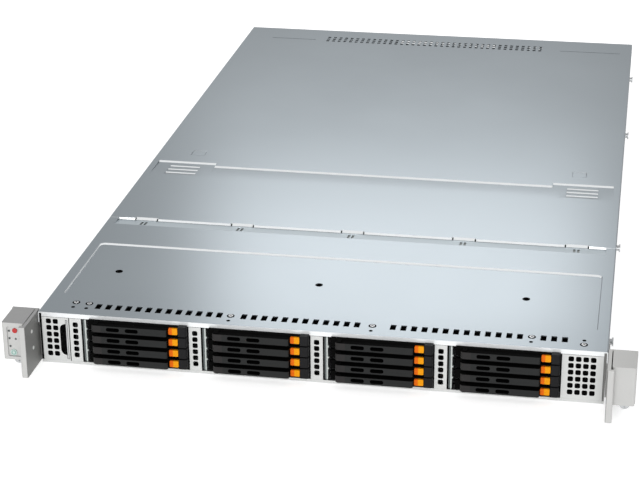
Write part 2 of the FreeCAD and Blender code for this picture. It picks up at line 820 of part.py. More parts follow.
# Sheet cage: floor, walls both sides of each bay, top plate, and the rails the drives run on
def drive_cage():
    body = new_body("drive_cage")
    left = "first_divider + bay_start - bay_wall"
    right = "first_divider + (bays - 1) * bay_pitch + bay_start + bay_wide + bay_wall"
    floor = (left, "divider_deep", right, "cage_deep")
    pad_box(body, "XY", "wall", floor, "cage_plate")
    wall = (left, "lid + gap", left + " + bay_wall", "cage_deep")
    left_wall = pad_box(body, "XY", "hem", wall, "cage_top - hem")
    far = "first_divider + bay_start + bay_wide"
    far_wall = (far, "divider_deep", far + " + bay_wall", "cage_deep")
    right_wall = pad_box(body, "XY", "wall", far_wall, "cage_top - wall")
    foot = pad_box(body, "XY", "wall", (left, "divider_deep", left + " + bay_wall", "cage_deep"), "hem - wall")
    # the left wall's front edge is folded to a flange with a tooth between the rows
    flange_left = "first_divider + bay_flange_start"
    flange_right = flange_left + " + bay_flange_wide"
    flange = pad_box(body, "XY", "bay_flange_bottom", (flange_left, "gap", flange_right, "gap + bay_wall"),
                     "bay_flange_top - bay_flange_bottom")
    repeat(body, [left_wall, right_wall, foot, flange], ("X", "bay_pitch", "bays"))
    tooth_z = "row_first + row_pitch / 2 - tooth_high / 2"
    tooth_corners = (flange_right + " - fit", "gap", flange_right + " + tooth_wide", "gap + bay_wall")
    teeth = pad_box(body, "XY", tooth_z, tooth_corners, "tooth_high")
    repeat(body, [teeth], ("X", "bay_pitch", "bays"), ("Z", "row_pitch", "rows - 1"))
    rail_z = "row_first - drive_thick / 2 - gap - rail_thick"
    rail_front = "carrier_deep + 2"
    drive_left = "first_divider + drive_offset - drive_wide / 2"
    drive_right = "first_divider + drive_offset + drive_wide / 2"
    near_rail = (left + " + bay_wall", rail_front, drive_left + " + rail_under", "cage_deep")
    far_rail = (drive_right + " - rail_under", rail_front, far, "cage_deep")
    rails = [pad_box(body, "XY", rail_z, corners, "rail_thick") for corners in (near_rail, far_rail)]
    repeat(body, rails, ("X", "bay_pitch", "bays"), ("Z", "row_pitch", "rows"))
    pad_box(body, "XY", "cage_top", (left, "lid + 2 * gap", right, "cage_deep"), "cage_plate")
    return body


# One carrier with its drive: front frame with air windows, the hinge lugs and pin of the lever,
# the release button, the end piece, the drive and its edge connector. What stands before the
# panel plane sits a little higher than the drive.
def drive(bay, row):
    body = new_body("drive_%d_%d" % (bay + 1, row + 1), drive_x(bay), "0", drive_z(row))
    left = "-drive_wide / 2"
    right = "drive_wide / 2"
    low = "-carrier_high / 2"
    back = "-gap"
    pad_box(body, "XY", "-drive_thick / 2", (left, "carrier_deep", right, DRIVE_END), "drive_thick")
    pad_box(body, "XY", low, (left, back, right, "carrier_deep"), "carrier_high")
    front_low = "front_lift - front_high / 2"
    pad_box(body, "XY", front_low, (left, CARRIER_FACE, right, back), "front_high")
    end_right = right + " + end_over"
    end_left = end_right + " - end_wide"
    pad_outline(body, "XY", "front_lift - end_high / 2", [
        (end_left, "-end_proud"), (end_right, "-end_proud", "lever_round"), (end_right, back), (end_left, back),
    ], "end_high")
    pin_x = left + " + lever_inset + lever_thick / 2"
    lug = "(2 * pin_radius)"
    lug_front = "%s - %s" % (PIN_Y, lug)
    lug_outline = [(pin_x + " - " + lug, lug_front, "pin_radius"), (pin_x + " + " + lug, lug_front, "pin_radius"),
                   (pin_x + " + " + lug, CARRIER_FACE), (pin_x + " - " + lug, CARRIER_FACE)]
    pad_outline(body, "XY", front_low, lug_outline, "lug_thick")
    pad_outline(body, "XY", front_low + " + front_high - lug_thick", lug_outline, "lug_thick")
    pad_round(body, "XY", front_low, pin_x, PIN_Y, "pin_radius", "front_high")
    window_left = left + " + window_first"
    middle = "front_lift / 2"
    corners = (window_left, middle + " - window_high / 2", window_left + " + window_wide",
               middle + " + window_high / 2")
    window = cut_box(body, "XZ", CARRIER_FACE, corners, "carrier_deep - " + CARRIER_FACE)
    repeat(body, [window], ("X", "window_pitch", "windows"))
    tab = ("-tab_wide / 2", DRIVE_END, "tab_wide / 2", DRIVE_END + " + tab_long")
    pad_box(body, "XY", "-tab_thick / 2", tab, "tab_thick")
    button_right = end_left + " - button_gap"
    button = (button_right + " - button_wide", "front_lift - button_high / 2", button_right,
              "front_lift + button_high / 2")
    pad_box(body, "XZ", "-end_proud", button, CARRIER_FACE + " + end_proud", "pin_radius")
    return body


# Slotted lever that swings out on the pin at its left end; its origin is the pin's axis
def lever(bay, row):
    pin_x = "%s - drive_wide / 2 + lever_inset + lever_thick / 2" % drive_x(bay)
    body = new_body("lever_%d_%d" % (bay + 1, row + 1), pin_x, PIN_Y, drive_z(row) + " + front_lift")
    half = "lever_thick / 2"
    left = "-" + half
    right = "lever_long - " + half
    round_end = half + " - fit"
    pad_outline(body, "XY", "-lever_high / 2", [
        (left, "-" + half, round_end), (right, "-" + half, "lever_round"),
        (right, half), (left, half, round_end),
    ], "lever_high")
    cut_round(body, "XY", "-lever_high / 2", "0", "0", "pin_radius + fit", "lever_high")
    corners = ("lever_slot_first", "-lever_slot_high / 2", "lever_slot_first + lever_slot_wide",
               "lever_slot_high / 2")
    slot = cut_box(body, "XZ", "-" + half, corners, "lever_thick", "lever_slot_high / 2 - fit")
    repeat(body, [slot], ("X", "lever_slot_pitch", "2"))
    return body


# Board behind the drives: one slotted connector for each drive, openings for air between bays
def drive_backplane():
    body = new_body("drive_backplane")
    left = "first_divider + bay_start"
    right = "first_divider + (bays - 1) * bay_pitch + bay_start + bay_wide"
    board = (left, "wall + gap", right, "cage_top")
    pad_box(body, "XZ", "backplane_y", board, "board_thick")
    front = "backplane_y - connector_deep"
    x = "(first_divider + drive_offset)"
    block_corners = ("%s - connector_wide / 2" % x, "row_first - connector_high / 2",
                     "%s + connector_wide / 2" % x, "row_first + connector_high / 2")
    slot_half = "(tab_wide / 2 + 2 * gap)"
    slot_high = "(tab_thick / 2 + gap)"
    slot_corners = ("%s - %s" % (x, slot_half), "row_first - " + slot_high,
                    "%s + %s" % (x, slot_half), "row_first + " + slot_high)
    block = pad_box(body, "XZ", front, block_corners, "connector_deep")
    slot = cut_box(body, "XZ", front, slot_corners, DRIVE_END + " + tab_long + gap - (%s)" % front)
    repeat(body, [block, slot], ("X", "bay_pitch", "bays"), ("Z", "row_pitch", "rows"))
    air = ("first_divider + bay_pitch - opening_half", "opening_bottom",
           "first_divider + bay_pitch + opening_half", "opening_top")
    opening = cut_box(body, "XZ", "backplane_y", air, "board_thick")
    repeat(body, [opening], ("X", "bay_pitch", "bays - 1"))
    return body


FIRST_FAN = "(-fan_pitch * (fans - 1) / 2)"
FAN_Z = "(wall + gap + fan_size / 2)"


# Square fan frames with a round duct, a motor mount on three struts and the shaft
def fan_frames():
    body = new_body("fan_frames", FIRST_FAN, "fan_y", FAN_Z)
    half = "fan_size / 2"
    sketch = new_sketch(body, "XZ", "0")
    draw_box(sketch, "-" + half, "-" + half, half, half, "fan_round")
    draw_circle(sketch, "0", "0", "fan_bore")
    add_feature(body, "Pad", sketch, "fan_deep")
    strut_y = "fan_deep - 2 * strut"
    reach = "fan_bore + strut / 2"
    pad_box(body, "XZ", strut_y, ("-(%s)" % reach, "-strut / 2", reach, "strut / 2"), "2 * strut")
    pad_box(body, "XZ", strut_y, ("-strut / 2", "-(%s)" % reach, "strut / 2", reach), "2 * strut")
    pad_round(body, "XZ", strut_y, "0", "0", "hub_radius", "2 * strut")
    pad_round(body, "XZ", "strut", "0", "0", "shaft_radius", "fan_deep - 2 * strut")
    return row_of_fans(body)


# Hubs with five twisted blades each, lofted from a steep root to a flatter tip
def fan_rotors():
    body = new_body("fan_rotors", FIRST_FAN, "fan_y", FAN_Z)
    sketch = new_sketch(body, "XZ", "2 * strut")
    draw_circle(sketch, "0", "0", "hub_radius")
    draw_circle(sketch, "0", "0", "shaft_radius + fit")
    add_feature(body, "Pad", sketch, "fan_deep - 5 * strut")
    sections = []
    for level, turn, chord in (("hub_radius - blade_thick", "blade_root_turn", "blade_root_chord"),
                               ("fan_bore - 2 * gap", "blade_tip_turn", "blade_chord")):
        section = new_sketch(body, "YZ", level)
        spin = FreeCAD.Rotation(Vector(0, 0, 1), number(turn))
        section.AttachmentOffset = FreeCAD.Placement(Vector(0, 0, 0), spin)
        section.setExpression("AttachmentOffset.Base.z", linked(level))
        section.setExpression("AttachmentOffset.Base.x", linked("fan_deep / 2 - strut / 2"))
        half_chord = chord + " / 2"
        draw_box(section, "-(%s)" % half_chord, "-blade_thick / 2", half_chord, "blade_thick / 2")
        sections.append(section)
    blade = body.newObject("PartDesign::AdditiveLoft", "fan_blade")
    blade.Profile = sections[0]
    blade.Sections = sections[1:]
    body.Tip = blade
    turns = body.newObject("PartDesign::PolarPattern", "fan_turn")
    turns.Originals = [blade]
    turns.Axis = (origin_part(body, "Y_Axis"), [""])
    turns.Angle = 360
    turns.setExpression("Occurrences", linked("blades"))
    body.Tip = turns
    return row_of_fans(body)


# One finished fan piece, copied along the row; the result takes its label
def row_of_fans(body):
    label = body.Label
    body.Label = label + "_first"
    row = doc.addObject("Part::Compound", label + "_row")
    copies = [body]
    for index in range(1, sizes["fans"]):
        copy = doc.addObject("App::Link", label + "_copy")
        copy.LinkedObject = body
        copy.LinkTransform = True
        copy.setExpression("Placement.Base.x", linked("%d * fan_pitch" % index))
        copies.append(copy)
    row.Links = copies
    row.Label = label
    sub_parts[sub_parts.index(body)] = row
    return row


# Main board: outline with a rear arm beside the supplies, sockets and memory slots
def motherboard():
    body = new_body("motherboard")
    left = "-(%s - wall - 2 * gap)" % TRAY_HALF
    right = "(%s - wall - 2 * gap)" % TRAY_HALF
    arm_left = "%s + gap" % SUPPLY_SIDE
    board_back = "depth - wall - 2 * gap"
    notch = "%s - 3 * gap" % SUPPLY_FRONT
    pad_outline(body, "XY", "board_z", [
        (left, "board_front"), (right, "board_front"), (right, board_back), (arm_left, board_back),
        (arm_left, notch), (left, notch),
    ], "board_thick")
    for side in ("-1", "1"):
        x = "%s * processor_x" % side
        socket = ("%s - socket_wide / 2" % x, "processor_y - socket_long / 2",
                  "%s + socket_wide / 2" % x, "processor_y + socket_long / 2")
        pad_box(body, "XY", BOARD_TOP, socket, "socket_high")
    chip_corners = ("chip_x", "chip_y", "chip_x + chip_side", "chip_y + chip_side")
    chip = pad_box(body, "XY", BOARD_TOP, chip_corners, "chip_high")
    repeat(body, [chip], ("X", "chip_pitch", "2"))
    header_front = "board_front + header_y"
    header_corners = ("header_x", header_front, "header_x + header_wide", header_front + " + header_long")
    header = pad_box(body, "XY", BOARD_TOP, header_corners, "header_high")
    repeat(body, [header], ("X", "header_pitch", "4"))
    slots = []
    for start in memory_starts():
        corner = (start + " - memory_thick / 2 - memory_slot_rim",
                  "processor_y - memory_long / 2 - memory_slot_end", BOARD_TOP)
        size = ("memory_thick + 2 * memory_slot_rim", "memory_long + 2 * memory_slot_end", "memory_slot_high")
        slots += block_grid("memory_slot", corner, size, ("X", "memory_pitch", "memory_count"))
    return with_blocks(body, slots, "Fuse")


def memory_starts():
    gap = "(socket_wide / 2 + memory_pitch)"
    run = "(memory_pitch * (memory_count - 1))"
    return ["(%s * processor_x %s)" % (side, shift) for side in ("-1", "1")
            for shift in ("- %s - %s" % (gap, run), "+ " + gap)]


def memory_modules():
    body = new_body("memory_modules")
    bottom = BOARD_TOP + " + memory_slot_high"
    for start in memory_starts():
        corners = ("%s - memory_thick / 2" % start, "processor_y - memory_long / 2",
                   "%s + memory_thick / 2" % start, "processor_y + memory_long / 2")
        module = pad_box(body, "XY", bottom, corners, "memory_high - memory_slot_high")
        repeat(body, [module], ("X", "memory_pitch", "memory_count"))
    return body


# Finned heat sinks on both processors
def cpu_heatsinks():
    body = new_body("cpu_heatsinks", "0", "processor_y", BOARD_TOP + " + socket_high")
    x = "(-processor_x)"
    half = "socket_wide / 2"
    back = "socket_long / 2"
    base = pad_box(body, "XY", "0", ("%s - %s" % (x, half), "-" + back, "%s + %s" % (x, half), back), "sink_base")
    repeat(body, [base], ("X", "2 * processor_x", "2"))
    first_fin = "%s - fin_pitch * (fins - 1) / 2" % x
    fin_corners = (first_fin + " - fin_thick / 2", "-" + back, first_fin + " + fin_thick / 2", back)
    fin = pad_box(body, "XY", "sink_base", fin_corners, "sink_high - sink_base")
    repeat(body, [fin], ("X", "fin_pitch", "fins"), ("X", "2 * processor_x", "2"))
    return body


# Thin duct over the processors and memory, with a lowered nose at its front and feet on the board
def air_shroud():
    body = new_body("air_shroud")
    half = "(%s - wall - 3 * gap)" % TRAY_HALF
    front = "(processor_y - shroud_long / 2)"
    inner = half + " - shroud_sheet"
    pad_outline(body, "XZ", front, [
        ("-" + half, BOARD_TOP), ("-(%s)" % inner, BOARD_TOP), ("-(%s)" % inner, "shroud_top - shroud_sheet"),
        (inner, "shroud_top - shroud_sheet"), (inner, BOARD_TOP), (half, BOARD_TOP),
        (half, "shroud_top"), ("-" + half, "shroud_top"),
    ], "shroud_long")
    sketch = new_sketch(body, "YZ", "-" + half)
    draw_outline(sketch, [
        (front, "shroud_top"), (front + " - nose_long", "shroud_top - nose_drop"),
        (front + " - nose_long", "shroud_top - nose_drop - shroud_sheet"), (front, "shroud_top - shroud_sheet"),
    ])
    add_feature(body, "Pad", sketch, "2 * " + half)
    return body


# Connectors that stand on the rear edge of the board, each a shell with an open mouth
def rear_ports():
    body = new_body("rear_ports")
    for x, wide, bottom, high in REAR_PORTS:
        low = "%s + %g" % (BOARD_TOP, bottom)
        left = "%g" % (x - wide / 2)
        right = "%g" % (x + wide / 2)
        top = "%s + %g" % (low, high)
        pad_box(body, "XZ", "depth - port_long", (left, low, right, top), "port_long + gap")
        mouth = (left + " + wall", low + " + wall", right + " - wall", top + " - wall")
        cut_box(body, "XZ", "depth - port_long / 2", mouth, "port_long / 2 + gap")
    return body


# Power supply: sheet shell, rear face with inlet, fan grille, wire handle and latch slot
def power_supply(index):
    body = new_body("power_supply_%d" % (index + 1), "%s + %d * %s" % (SUPPLY_START, index, SUPPLY_PITCH),
                    SUPPLY_FRONT, SUPPLY_BOTTOM)
    sketch = new_sketch(body, "XZ", "0")
    draw_box(sketch, "0", "0", "supply_wide", "supply_high")
    draw_box(sketch, "supply_shell", "supply_shell", "supply_wide - supply_shell", "supply_high - supply_shell")
    add_feature(body, "Pad", sketch, "supply_long")
    inside = ("supply_shell", "supply_shell", "supply_wide - supply_shell", "supply_high - supply_shell")
    pad_box(body, "XZ", "0", inside, "supply_shell")
    pad_box(body, "XZ", "supply_long - supply_shell", inside, "supply_shell")
    inlet_left = "supply_wide - inlet_aside - inlet_wide"
    inlet_low = "(supply_high - inlet_high) / 2"
    inlet = (inlet_left, inlet_low, inlet_left + " + inlet_wide", inlet_low + " + inlet_high")
    pad_box(body, "XZ", "supply_long - inlet_long", inlet, "inlet_long + inlet_proud", "inlet_rim")
    inlet_mouth = (inlet_left + " + inlet_rim", inlet_low + " + inlet_rim",
                   inlet_left + " + inlet_wide - inlet_rim", inlet_low + " + inlet_high - inlet_rim")
    mouth_front = "supply_long - inlet_long + inlet_rim"
    cut_box(body, "XZ", mouth_front, inlet_mouth, "inlet_long - inlet_rim + inlet_proud", "inlet_proud")
    handle_x = "supply_wide / 2 - handle_aside"
    spine = new_sketch(body, "YZ", handle_x)
    low = "handle_inset"
    high = "supply_high - handle_inset"
    out = "supply_long + handle_reach - handle_rod"
    draw_open_path(spine, [
        ("supply_long - supply_shell / 2", low), (out, low, "handle_bend"), (out, high, "handle_bend"),
        ("supply_long - supply_shell / 2", high)])
    ring = new_sketch(body, "XZ", "supply_long - supply_shell / 2")
    draw_circle(ring, handle_x, low, "handle_rod")
    handle = body.newObject("PartDesign::AdditivePipe", body.Name + "_handle")
    handle.Profile = ring
    handle.Spine = spine
    body.Tip = handle
    # the latch's slot in the rear face and the pin it turns on
    slot_right = "supply_wide - supply_shell - 2 * gap"
    slot = (slot_right + " - 4 * latch_thick", "(supply_high - latch_high) / 2 - gap", slot_right,
            "(supply_high + latch_high) / 2 + gap")
    cut_box(body, "XZ", "supply_long - supply_shell", slot, "supply_shell")
    pad_round(body, "XY", "supply_shell / 2", LATCH_X, "supply_long - latch_arm", "latch_pin",
              "supply_high - supply_shell")
    x = "%s + %d * %s" % (SUPPLY_START, index, SUPPLY_PITCH)
    rear = "depth - supply_shell - gap"
    corner = (x + " + supply_vent_inset", rear, SUPPLY_BOTTOM + " + supply_vent_inset")
    vents = block_grid("supply_vent", corner, ("supply_vent", "supply_shell + 2 * gap", "supply_vent"),
                       ("X", "supply_vent_pitch", "supply_vent_columns"),
                       ("Z", "supply_vent_pitch", "supply_vent_rows"))
    return with_blocks(body, vents, "Cut")


LATCH_X = "(supply_wide - supply_shell - 2 * gap - 2 * latch_pin)"


# An open run of lines with rounded corners, used as the path of a bent rod
def draw_open_path(sketch, points):
    flat = [Vector(number(point[0]), number(point[1]), 0) for point in points]
    starts = [points[0][:2]]
    stops = []
    for index in range(1, len(points) - 1):
        tips = []
        for other in (flat[index - 1], flat[index + 1]):
            way = other - flat[index]
            steps = [0 if abs(part) < 1e-9 else part / abs(part) for part in (way.x, way.y)]
            tips.append(tuple("%s + (%d) * (%s)" % (at, step, points[index][2])
                              for at, step in zip(points[index], steps)))
        stops.append(tips[0])
        starts.append(tips[1])
    stops.append(points[-1][:2])
    lines = []
    for start, stop in zip(starts, stops):
        tips = [Vector(number(x), number(y), 0) for x, y in (start, stop)]
        line = sketch.addGeometry(Part.LineSegment(*tips), False)
        pin_point(sketch, line, 1, *start)
        pin_point(sketch, line, 2, *stop)
        lines.append(line)
    for index in range(1, len(points) - 1):
        draw_corner(sketch, lines[index - 1], lines[index], flat[index], points[index][2])


# Spring latch of a supply: knuckle on the pin, arm through the slot and a thumb tab outside
def supply_latch(index):
    x = "%s + %d * %s + %s" % (SUPPLY_START, index, SUPPLY_PITCH, LATCH_X)
    body = new_body("supply_latch_%d" % (index + 1), x, "%s + supply_long - latch_arm" % SUPPLY_FRONT,
                    "%s + (supply_high - latch_high) / 2" % SUPPLY_BOTTOM)
    knuckle = "2 * latch_pin"
    pad_round(body, "XY", "0", "0", "0", knuckle, "latch_high")
    reach = "latch_arm + latch_reach"
    pad_outline(body, "XY", "0", [
        ("latch_thick / 2 - latch_thick", "0"), ("latch_thick / 2", "0"),
        ("latch_thick / 2", reach), ("-latch_thick / 2 - latch_tab", reach, "latch_thick / 4"),
        ("-latch_thick / 2 - latch_tab", reach + " - latch_thick"),
        ("-latch_thick / 2", reach + " - latch_thick"),
    ], "latch_high")
    cut_round(body, "XY", "0", "0", "0", "latch_pin + fit", "latch_high")
    return body


# Rack ear on one side: pull plate with a thick front bead, boxed housing, flange and side strap
def ear(side):
    word = "left" if side < 0 else "right"
    body = new_body(word + "_ear")

    def x(formula):
        return "%d * (%s)" % (side, formula)

    def block(plane, level, inner, low, outer, high, length, radius=None):
        ends = (x(inner), x(outer)) if side > 0 else (x(outer), x(inner))
        return pad_box(body, plane, level, (ends[0], low, ends[1], high), length, radius)

    plate_start = "width / 2 + ear_gap"
    plate_end = plate_start + " + ear_plate"
    bead_end = plate_start + " + ear_bead"
    flange_back = "flange_y + flange_sheet"
    block("XZ", "flange_y", plate_start, "0", "flange_end", "height", "flange_sheet")
    block("XY", "0.5", plate_start, "-ear_front + ear_plate / 2", plate_end, "flange_y", "height - 0.5")
    block("XY", "0.5", plate_start, "-ear_front", bead_end, "-ear_front + ear_plate", "height - 0.5",
          "ear_plate / 2 - fit")
    block("XY", "ear_box_bottom", "ear_box_start", "-ear_box_face", "ear_box_end", "flange_y",
          "height - ear_box_bottom", "ear_shell - fit")
    strap_low = "hem + wall"
    strap_high = "height - skirt - 2 * gap - hem - wall"
    strap_start = TRAY_HALF + " + gap"
    block("XY", strap_low, strap_start, "flange_y", plate_start + " + ear_gap", "ear_side_long", strap_high)
    rack_x = x("rack_half")
    cut_round(body, "XZ", "flange_y", rack_x, "rack_hole_z", "screw_shank + gap", "flange_sheet")
    if side < 0:
        panel = (x("panel_end"), "panel_bottom", x("ear_box_start + ear_shell"), "panel_top")
        cut_box(body, "XZ", "-ear_box_face", panel, "panel_deep", "ear_shell")
        for hole_x, hole_z, hole_radius, deep in PANEL_HOLES:
            cut_round(body, "XZ", PANEL_FACE, hole_x, hole_z, hole_radius, deep)
    return body


PANEL_FACE = "(panel_deep - ear_box_face)"
POWER = ("-231.8", "17.7", "2.6")
IDENT = ("-229.9", "36.2", "2")
LIGHTS = [("-234.5", "35.7"), ("-234.5", "29.4"), ("-234.2", "22.8")]
BUTTON_LONG = "5"
BUTTON_PROUD = "0.6"
BUTTON_WELL = "6.5"
PANEL_HOLES = [
    (POWER[0], POWER[1], POWER[2] + " + fit", BUTTON_WELL),
    (IDENT[0], IDENT[1], IDENT[2] + " + fit", BUTTON_WELL),
    ("-229.6", "29.1", "light_radius", "3"),
]


def panel_button(label, place):
    body = new_body(label, place[0], PANEL_FACE, place[1])
    pad_round(body, "XZ", "-" + BUTTON_PROUD, "0", "0", place[2], "%s + %s" % (BUTTON_LONG, BUTTON_PROUD))
    return body


def panel_lights():
    body = new_body("panel_lights")
    for x, z in LIGHTS:
        pad_round(body, "XZ", PANEL_FACE + " - light_proud", x, z, "light_radius", "light_proud")
    return body


# Captive rack screws: long head with a cross recess in front of the flange, shoulder in its hole
def rack_screws():
    body = new_body("rack_screws")
    shoulder = "(flange_sheet + gap)"
    head_front = "flange_y - screw_head_deep"
    for side in ("-1", "1"):
        x = "%s * rack_half" % side
        pad_round(body, "XZ", head_front, x, "rack_hole_z", "screw_head", "screw_head_deep")
        pad_round(body, "XZ", "flange_y", x, "rack_hole_z", "screw_shank + 2 * fit", shoulder)
        pad_round(body, "XZ", "flange_y + " + shoulder, x, "rack_hole_z", "screw_shank", "screw_long")
        for across, up in (("cross_long", "cross_wide"), ("cross_wide", "cross_long")):
            corners = ("%s - %s / 2" % (x, across), "rack_hole_z - %s / 2" % up,
                       "%s + %s / 2" % (x, across), "rack_hole_z + %s / 2" % up)
            cut_box(body, "XZ", head_front, corners, "cross_deep")
    return body


# Mushroom studs that hook into the slide rails, four on each side wall
def rail_studs():
    body = new_body("rail_studs")
    face = TRAY_HALF
    last = "(depth - stud_last)"
    run = "(%s - stud_first)" % last
    for y in ("stud_first", "stud_first + %s * stud_near" % run, "stud_first + %s * stud_far" % run, last):
        shank = pad_round(body, "YZ", face, y, "stud_z", "stud_radius", "stud_reach")
        head = pad_round(body, "YZ", "%s + stud_reach - wall" % face, y, "stud_z", "stud_head", "wall")
        mirror(body, [shank, head])
    return body


# Build everything, then check every object and shape before writing
chassis_base()
front_cover()
rear_cover()
cover_screws()
cover_release("cover_release_left", "-1")
cover_release("cover_release_right", "1")
front_grilles()
service_tag()
drive_cage()
for bay in range(sizes["bays"]):
    for row in range(sizes["rows"]):
        drive(bay, row)
        lever(bay, row)
drive_backplane()
fan_frames()
fan_rotors()
motherboard()
memory_modules()
cpu_heatsinks()
air_shroud()
rear_ports()
for index in range(2):
    power_supply(index)
    supply_latch(index)
ear(-1)
ear(1)
panel_button("power_button", POWER)
panel_button("uid_button", IDENT)
panel_lights()
rack_screws()
rail_studs()
doc.recompute()

failed = [item.Name for item in doc.Objects if "Invalid" in item.State or "Error" in item.State]
if failed:
    raise RuntimeError("objects that did not build: " + ", ".join(failed))
for body in sub_parts:
    if body.Shape.isNull() or not body.Shape.isValid():
        raise RuntimeError("the shape of %s is not sound" % body.Label)

os.makedirs("parts", exist_ok=True)
for body in sub_parts:
    body.Shape.exportStep("parts/%s.step" % body.Label)
print("wrote %d sub-parts" % len(sub_parts))
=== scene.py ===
# %% [markdown]
# # A one-unit rack server, dressed around its measured frame
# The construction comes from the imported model: every sheet, screw and hinge already has its real
# size and place. This lesson gives each of them the finish of the real thing, and adds the small
# pressed and moulded shapes that the eye looks for on such a machine.
# Lengths are metres. X runs to the right seen from the front, Y to the back and Z up.

# %% Load the frame
import bpy
import json
import math
from mathutils import Matrix, Vector

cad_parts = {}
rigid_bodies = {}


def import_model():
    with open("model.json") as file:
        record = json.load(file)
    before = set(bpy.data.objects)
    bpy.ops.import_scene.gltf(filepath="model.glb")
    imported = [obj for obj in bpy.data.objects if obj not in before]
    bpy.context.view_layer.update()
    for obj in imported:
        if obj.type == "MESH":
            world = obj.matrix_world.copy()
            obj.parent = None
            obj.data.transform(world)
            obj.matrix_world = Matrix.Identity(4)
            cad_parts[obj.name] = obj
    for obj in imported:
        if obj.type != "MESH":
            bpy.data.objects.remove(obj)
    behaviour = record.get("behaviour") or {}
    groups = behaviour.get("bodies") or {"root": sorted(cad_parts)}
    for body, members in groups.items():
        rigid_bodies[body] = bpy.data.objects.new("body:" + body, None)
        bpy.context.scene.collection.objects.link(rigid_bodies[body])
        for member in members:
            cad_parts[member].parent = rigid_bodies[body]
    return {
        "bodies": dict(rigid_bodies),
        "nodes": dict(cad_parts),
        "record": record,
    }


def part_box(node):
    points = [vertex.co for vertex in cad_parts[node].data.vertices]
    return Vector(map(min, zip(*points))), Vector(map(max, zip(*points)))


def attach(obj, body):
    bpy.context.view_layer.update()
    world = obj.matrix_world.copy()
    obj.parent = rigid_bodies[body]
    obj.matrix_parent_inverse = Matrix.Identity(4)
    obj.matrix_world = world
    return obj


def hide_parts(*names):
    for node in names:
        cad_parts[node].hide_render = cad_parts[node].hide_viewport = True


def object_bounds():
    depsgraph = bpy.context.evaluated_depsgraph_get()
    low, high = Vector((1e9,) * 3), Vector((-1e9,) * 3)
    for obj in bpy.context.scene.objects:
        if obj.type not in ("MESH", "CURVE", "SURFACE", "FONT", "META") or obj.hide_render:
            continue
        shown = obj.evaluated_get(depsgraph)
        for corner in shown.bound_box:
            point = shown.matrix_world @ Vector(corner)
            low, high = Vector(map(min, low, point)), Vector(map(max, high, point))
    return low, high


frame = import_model()
cad_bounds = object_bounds()
MM = 0.001
bodies = frame["bodies"]
nodes = frame["nodes"]
print("nodes:", len(nodes), "bodies:", len(bodies))

# %% [markdown]
# The photograph was taken from a little right of the middle, above the lid and close enough for a
# strong perspective. The camera below was solved from the straight edges of the chassis, so the
# render lines up with the photograph edge for edge. A lens shift stands for the cropped frame.

# %% Camera
IMAGE_WIDE = 640
IMAGE_HIGH = 480
FOCAL_PIXELS = 1818.1
CENTRE_PIXEL = (353.68, 237.30)
CAMERA_PLACE = Vector((0.2275, -1.2137, 0.6418))
TURN_LEFT = math.radians(9.306)
TILT_DOWN = math.radians(22.910)
SENSOR = 36.0

camera_data = bpy.data.cameras.new("camera")
camera = bpy.data.objects.new("camera", camera_data)
bpy.context.scene.collection.objects.link(camera)
camera_data.sensor_width = SENSOR
camera_data.lens = FOCAL_PIXELS / IMAGE_WIDE * SENSOR
camera_data.shift_x = (IMAGE_WIDE / 2 - CENTRE_PIXEL[0]) / IMAGE_WIDE
camera_data.shift_y = (CENTRE_PIXEL[1] - IMAGE_HIGH / 2) / IMAGE_WIDE
camera_data.clip_start = 0.01
camera.location = CAMERA_PLACE
camera.rotation_euler = (math.radians(90) - TILT_DOWN, 0, TURN_LEFT)
bpy.context.scene.camera = camera
print("lens", round(camera_data.lens, 2), "mm, shift", round(camera_data.shift_x, 4),
      round(camera_data.shift_y, 4))

# %% [markdown]
# The machine is shown in a white studio. The world is white only where the camera or a reflection
# looks at it, and a plain grey for the light it gives, so the background is clean and the sheet
# metal still shows its own tone. Two soft lamps do the modelling: a large one in front for the
# faces, and a narrow one behind, whose reflection runs down the lid to its front edge.

# %% World, lamps and floor
AMBIENT = 0.55
FLOOR_GLOW = 0.6
FLOOR_SIZE = 12
FLOOR_MIDDLE = (0, 0.4)
FLOOR_GAP = 0.0005
PAPER_TONE = 0.9
PAPER_ROUGH = 0.9


def seen_directly(tree):
    path = tree.nodes.new("ShaderNodeLightPath")
    first = tree.nodes.new("ShaderNodeMath")
    first.operation = "MAXIMUM"
    both = tree.nodes.new("ShaderNodeMath")
    both.operation = "MAXIMUM"
    tree.links.new(path.outputs["Is Camera Ray"], first.inputs[0])
    tree.links.new(path.outputs["Is Glossy Ray"], first.inputs[1])
    tree.links.new(first.outputs[0], both.inputs[0])
    tree.links.new(path.outputs["Is Transmission Ray"], both.inputs[1])
    return both.outputs[0]


bpy.context.scene.view_settings.view_transform = "Standard"
world = bpy.data.worlds.new("studio")
bpy.context.scene.world = world
world.use_nodes = True
tree = world.node_tree
background = tree.nodes["Background"]
background.inputs["Color"].default_value = (1, 1, 1, 1)
level = tree.nodes.new("ShaderNodeMapRange")
level.inputs["To Min"].default_value = AMBIENT
level.inputs["To Max"].default_value = 1
tree.links.new(seen_directly(tree), level.inputs["Value"])
tree.links.new(level.outputs["Result"], background.inputs["Strength"])


def soft_lamp(name, place, aim, size, watts):
    data = bpy.data.lights.new(name, "AREA")
    data.shape = "RECTANGLE"
    data.size, data.size_y = size
    data.energy = watts
    lamp = bpy.data.objects.new(name, data)
    bpy.context.scene.collection.objects.link(lamp)
    lamp.location = place
    lamp.rotation_euler = (Vector(aim) - Vector(place)).to_track_quat("-Z", "Y").to_euler()
    return lamp


soft_lamp("front_lamp", place=(0.1, -3.2, 0.75), aim=(0, 0, 0), size=(2.4, 1.2), watts=52)
soft_lamp("back_lamp", place=(-0.15, 1.6, 0.74), aim=(0.04, 0.12, 0), size=(0.66, 0.13), watts=2.55)

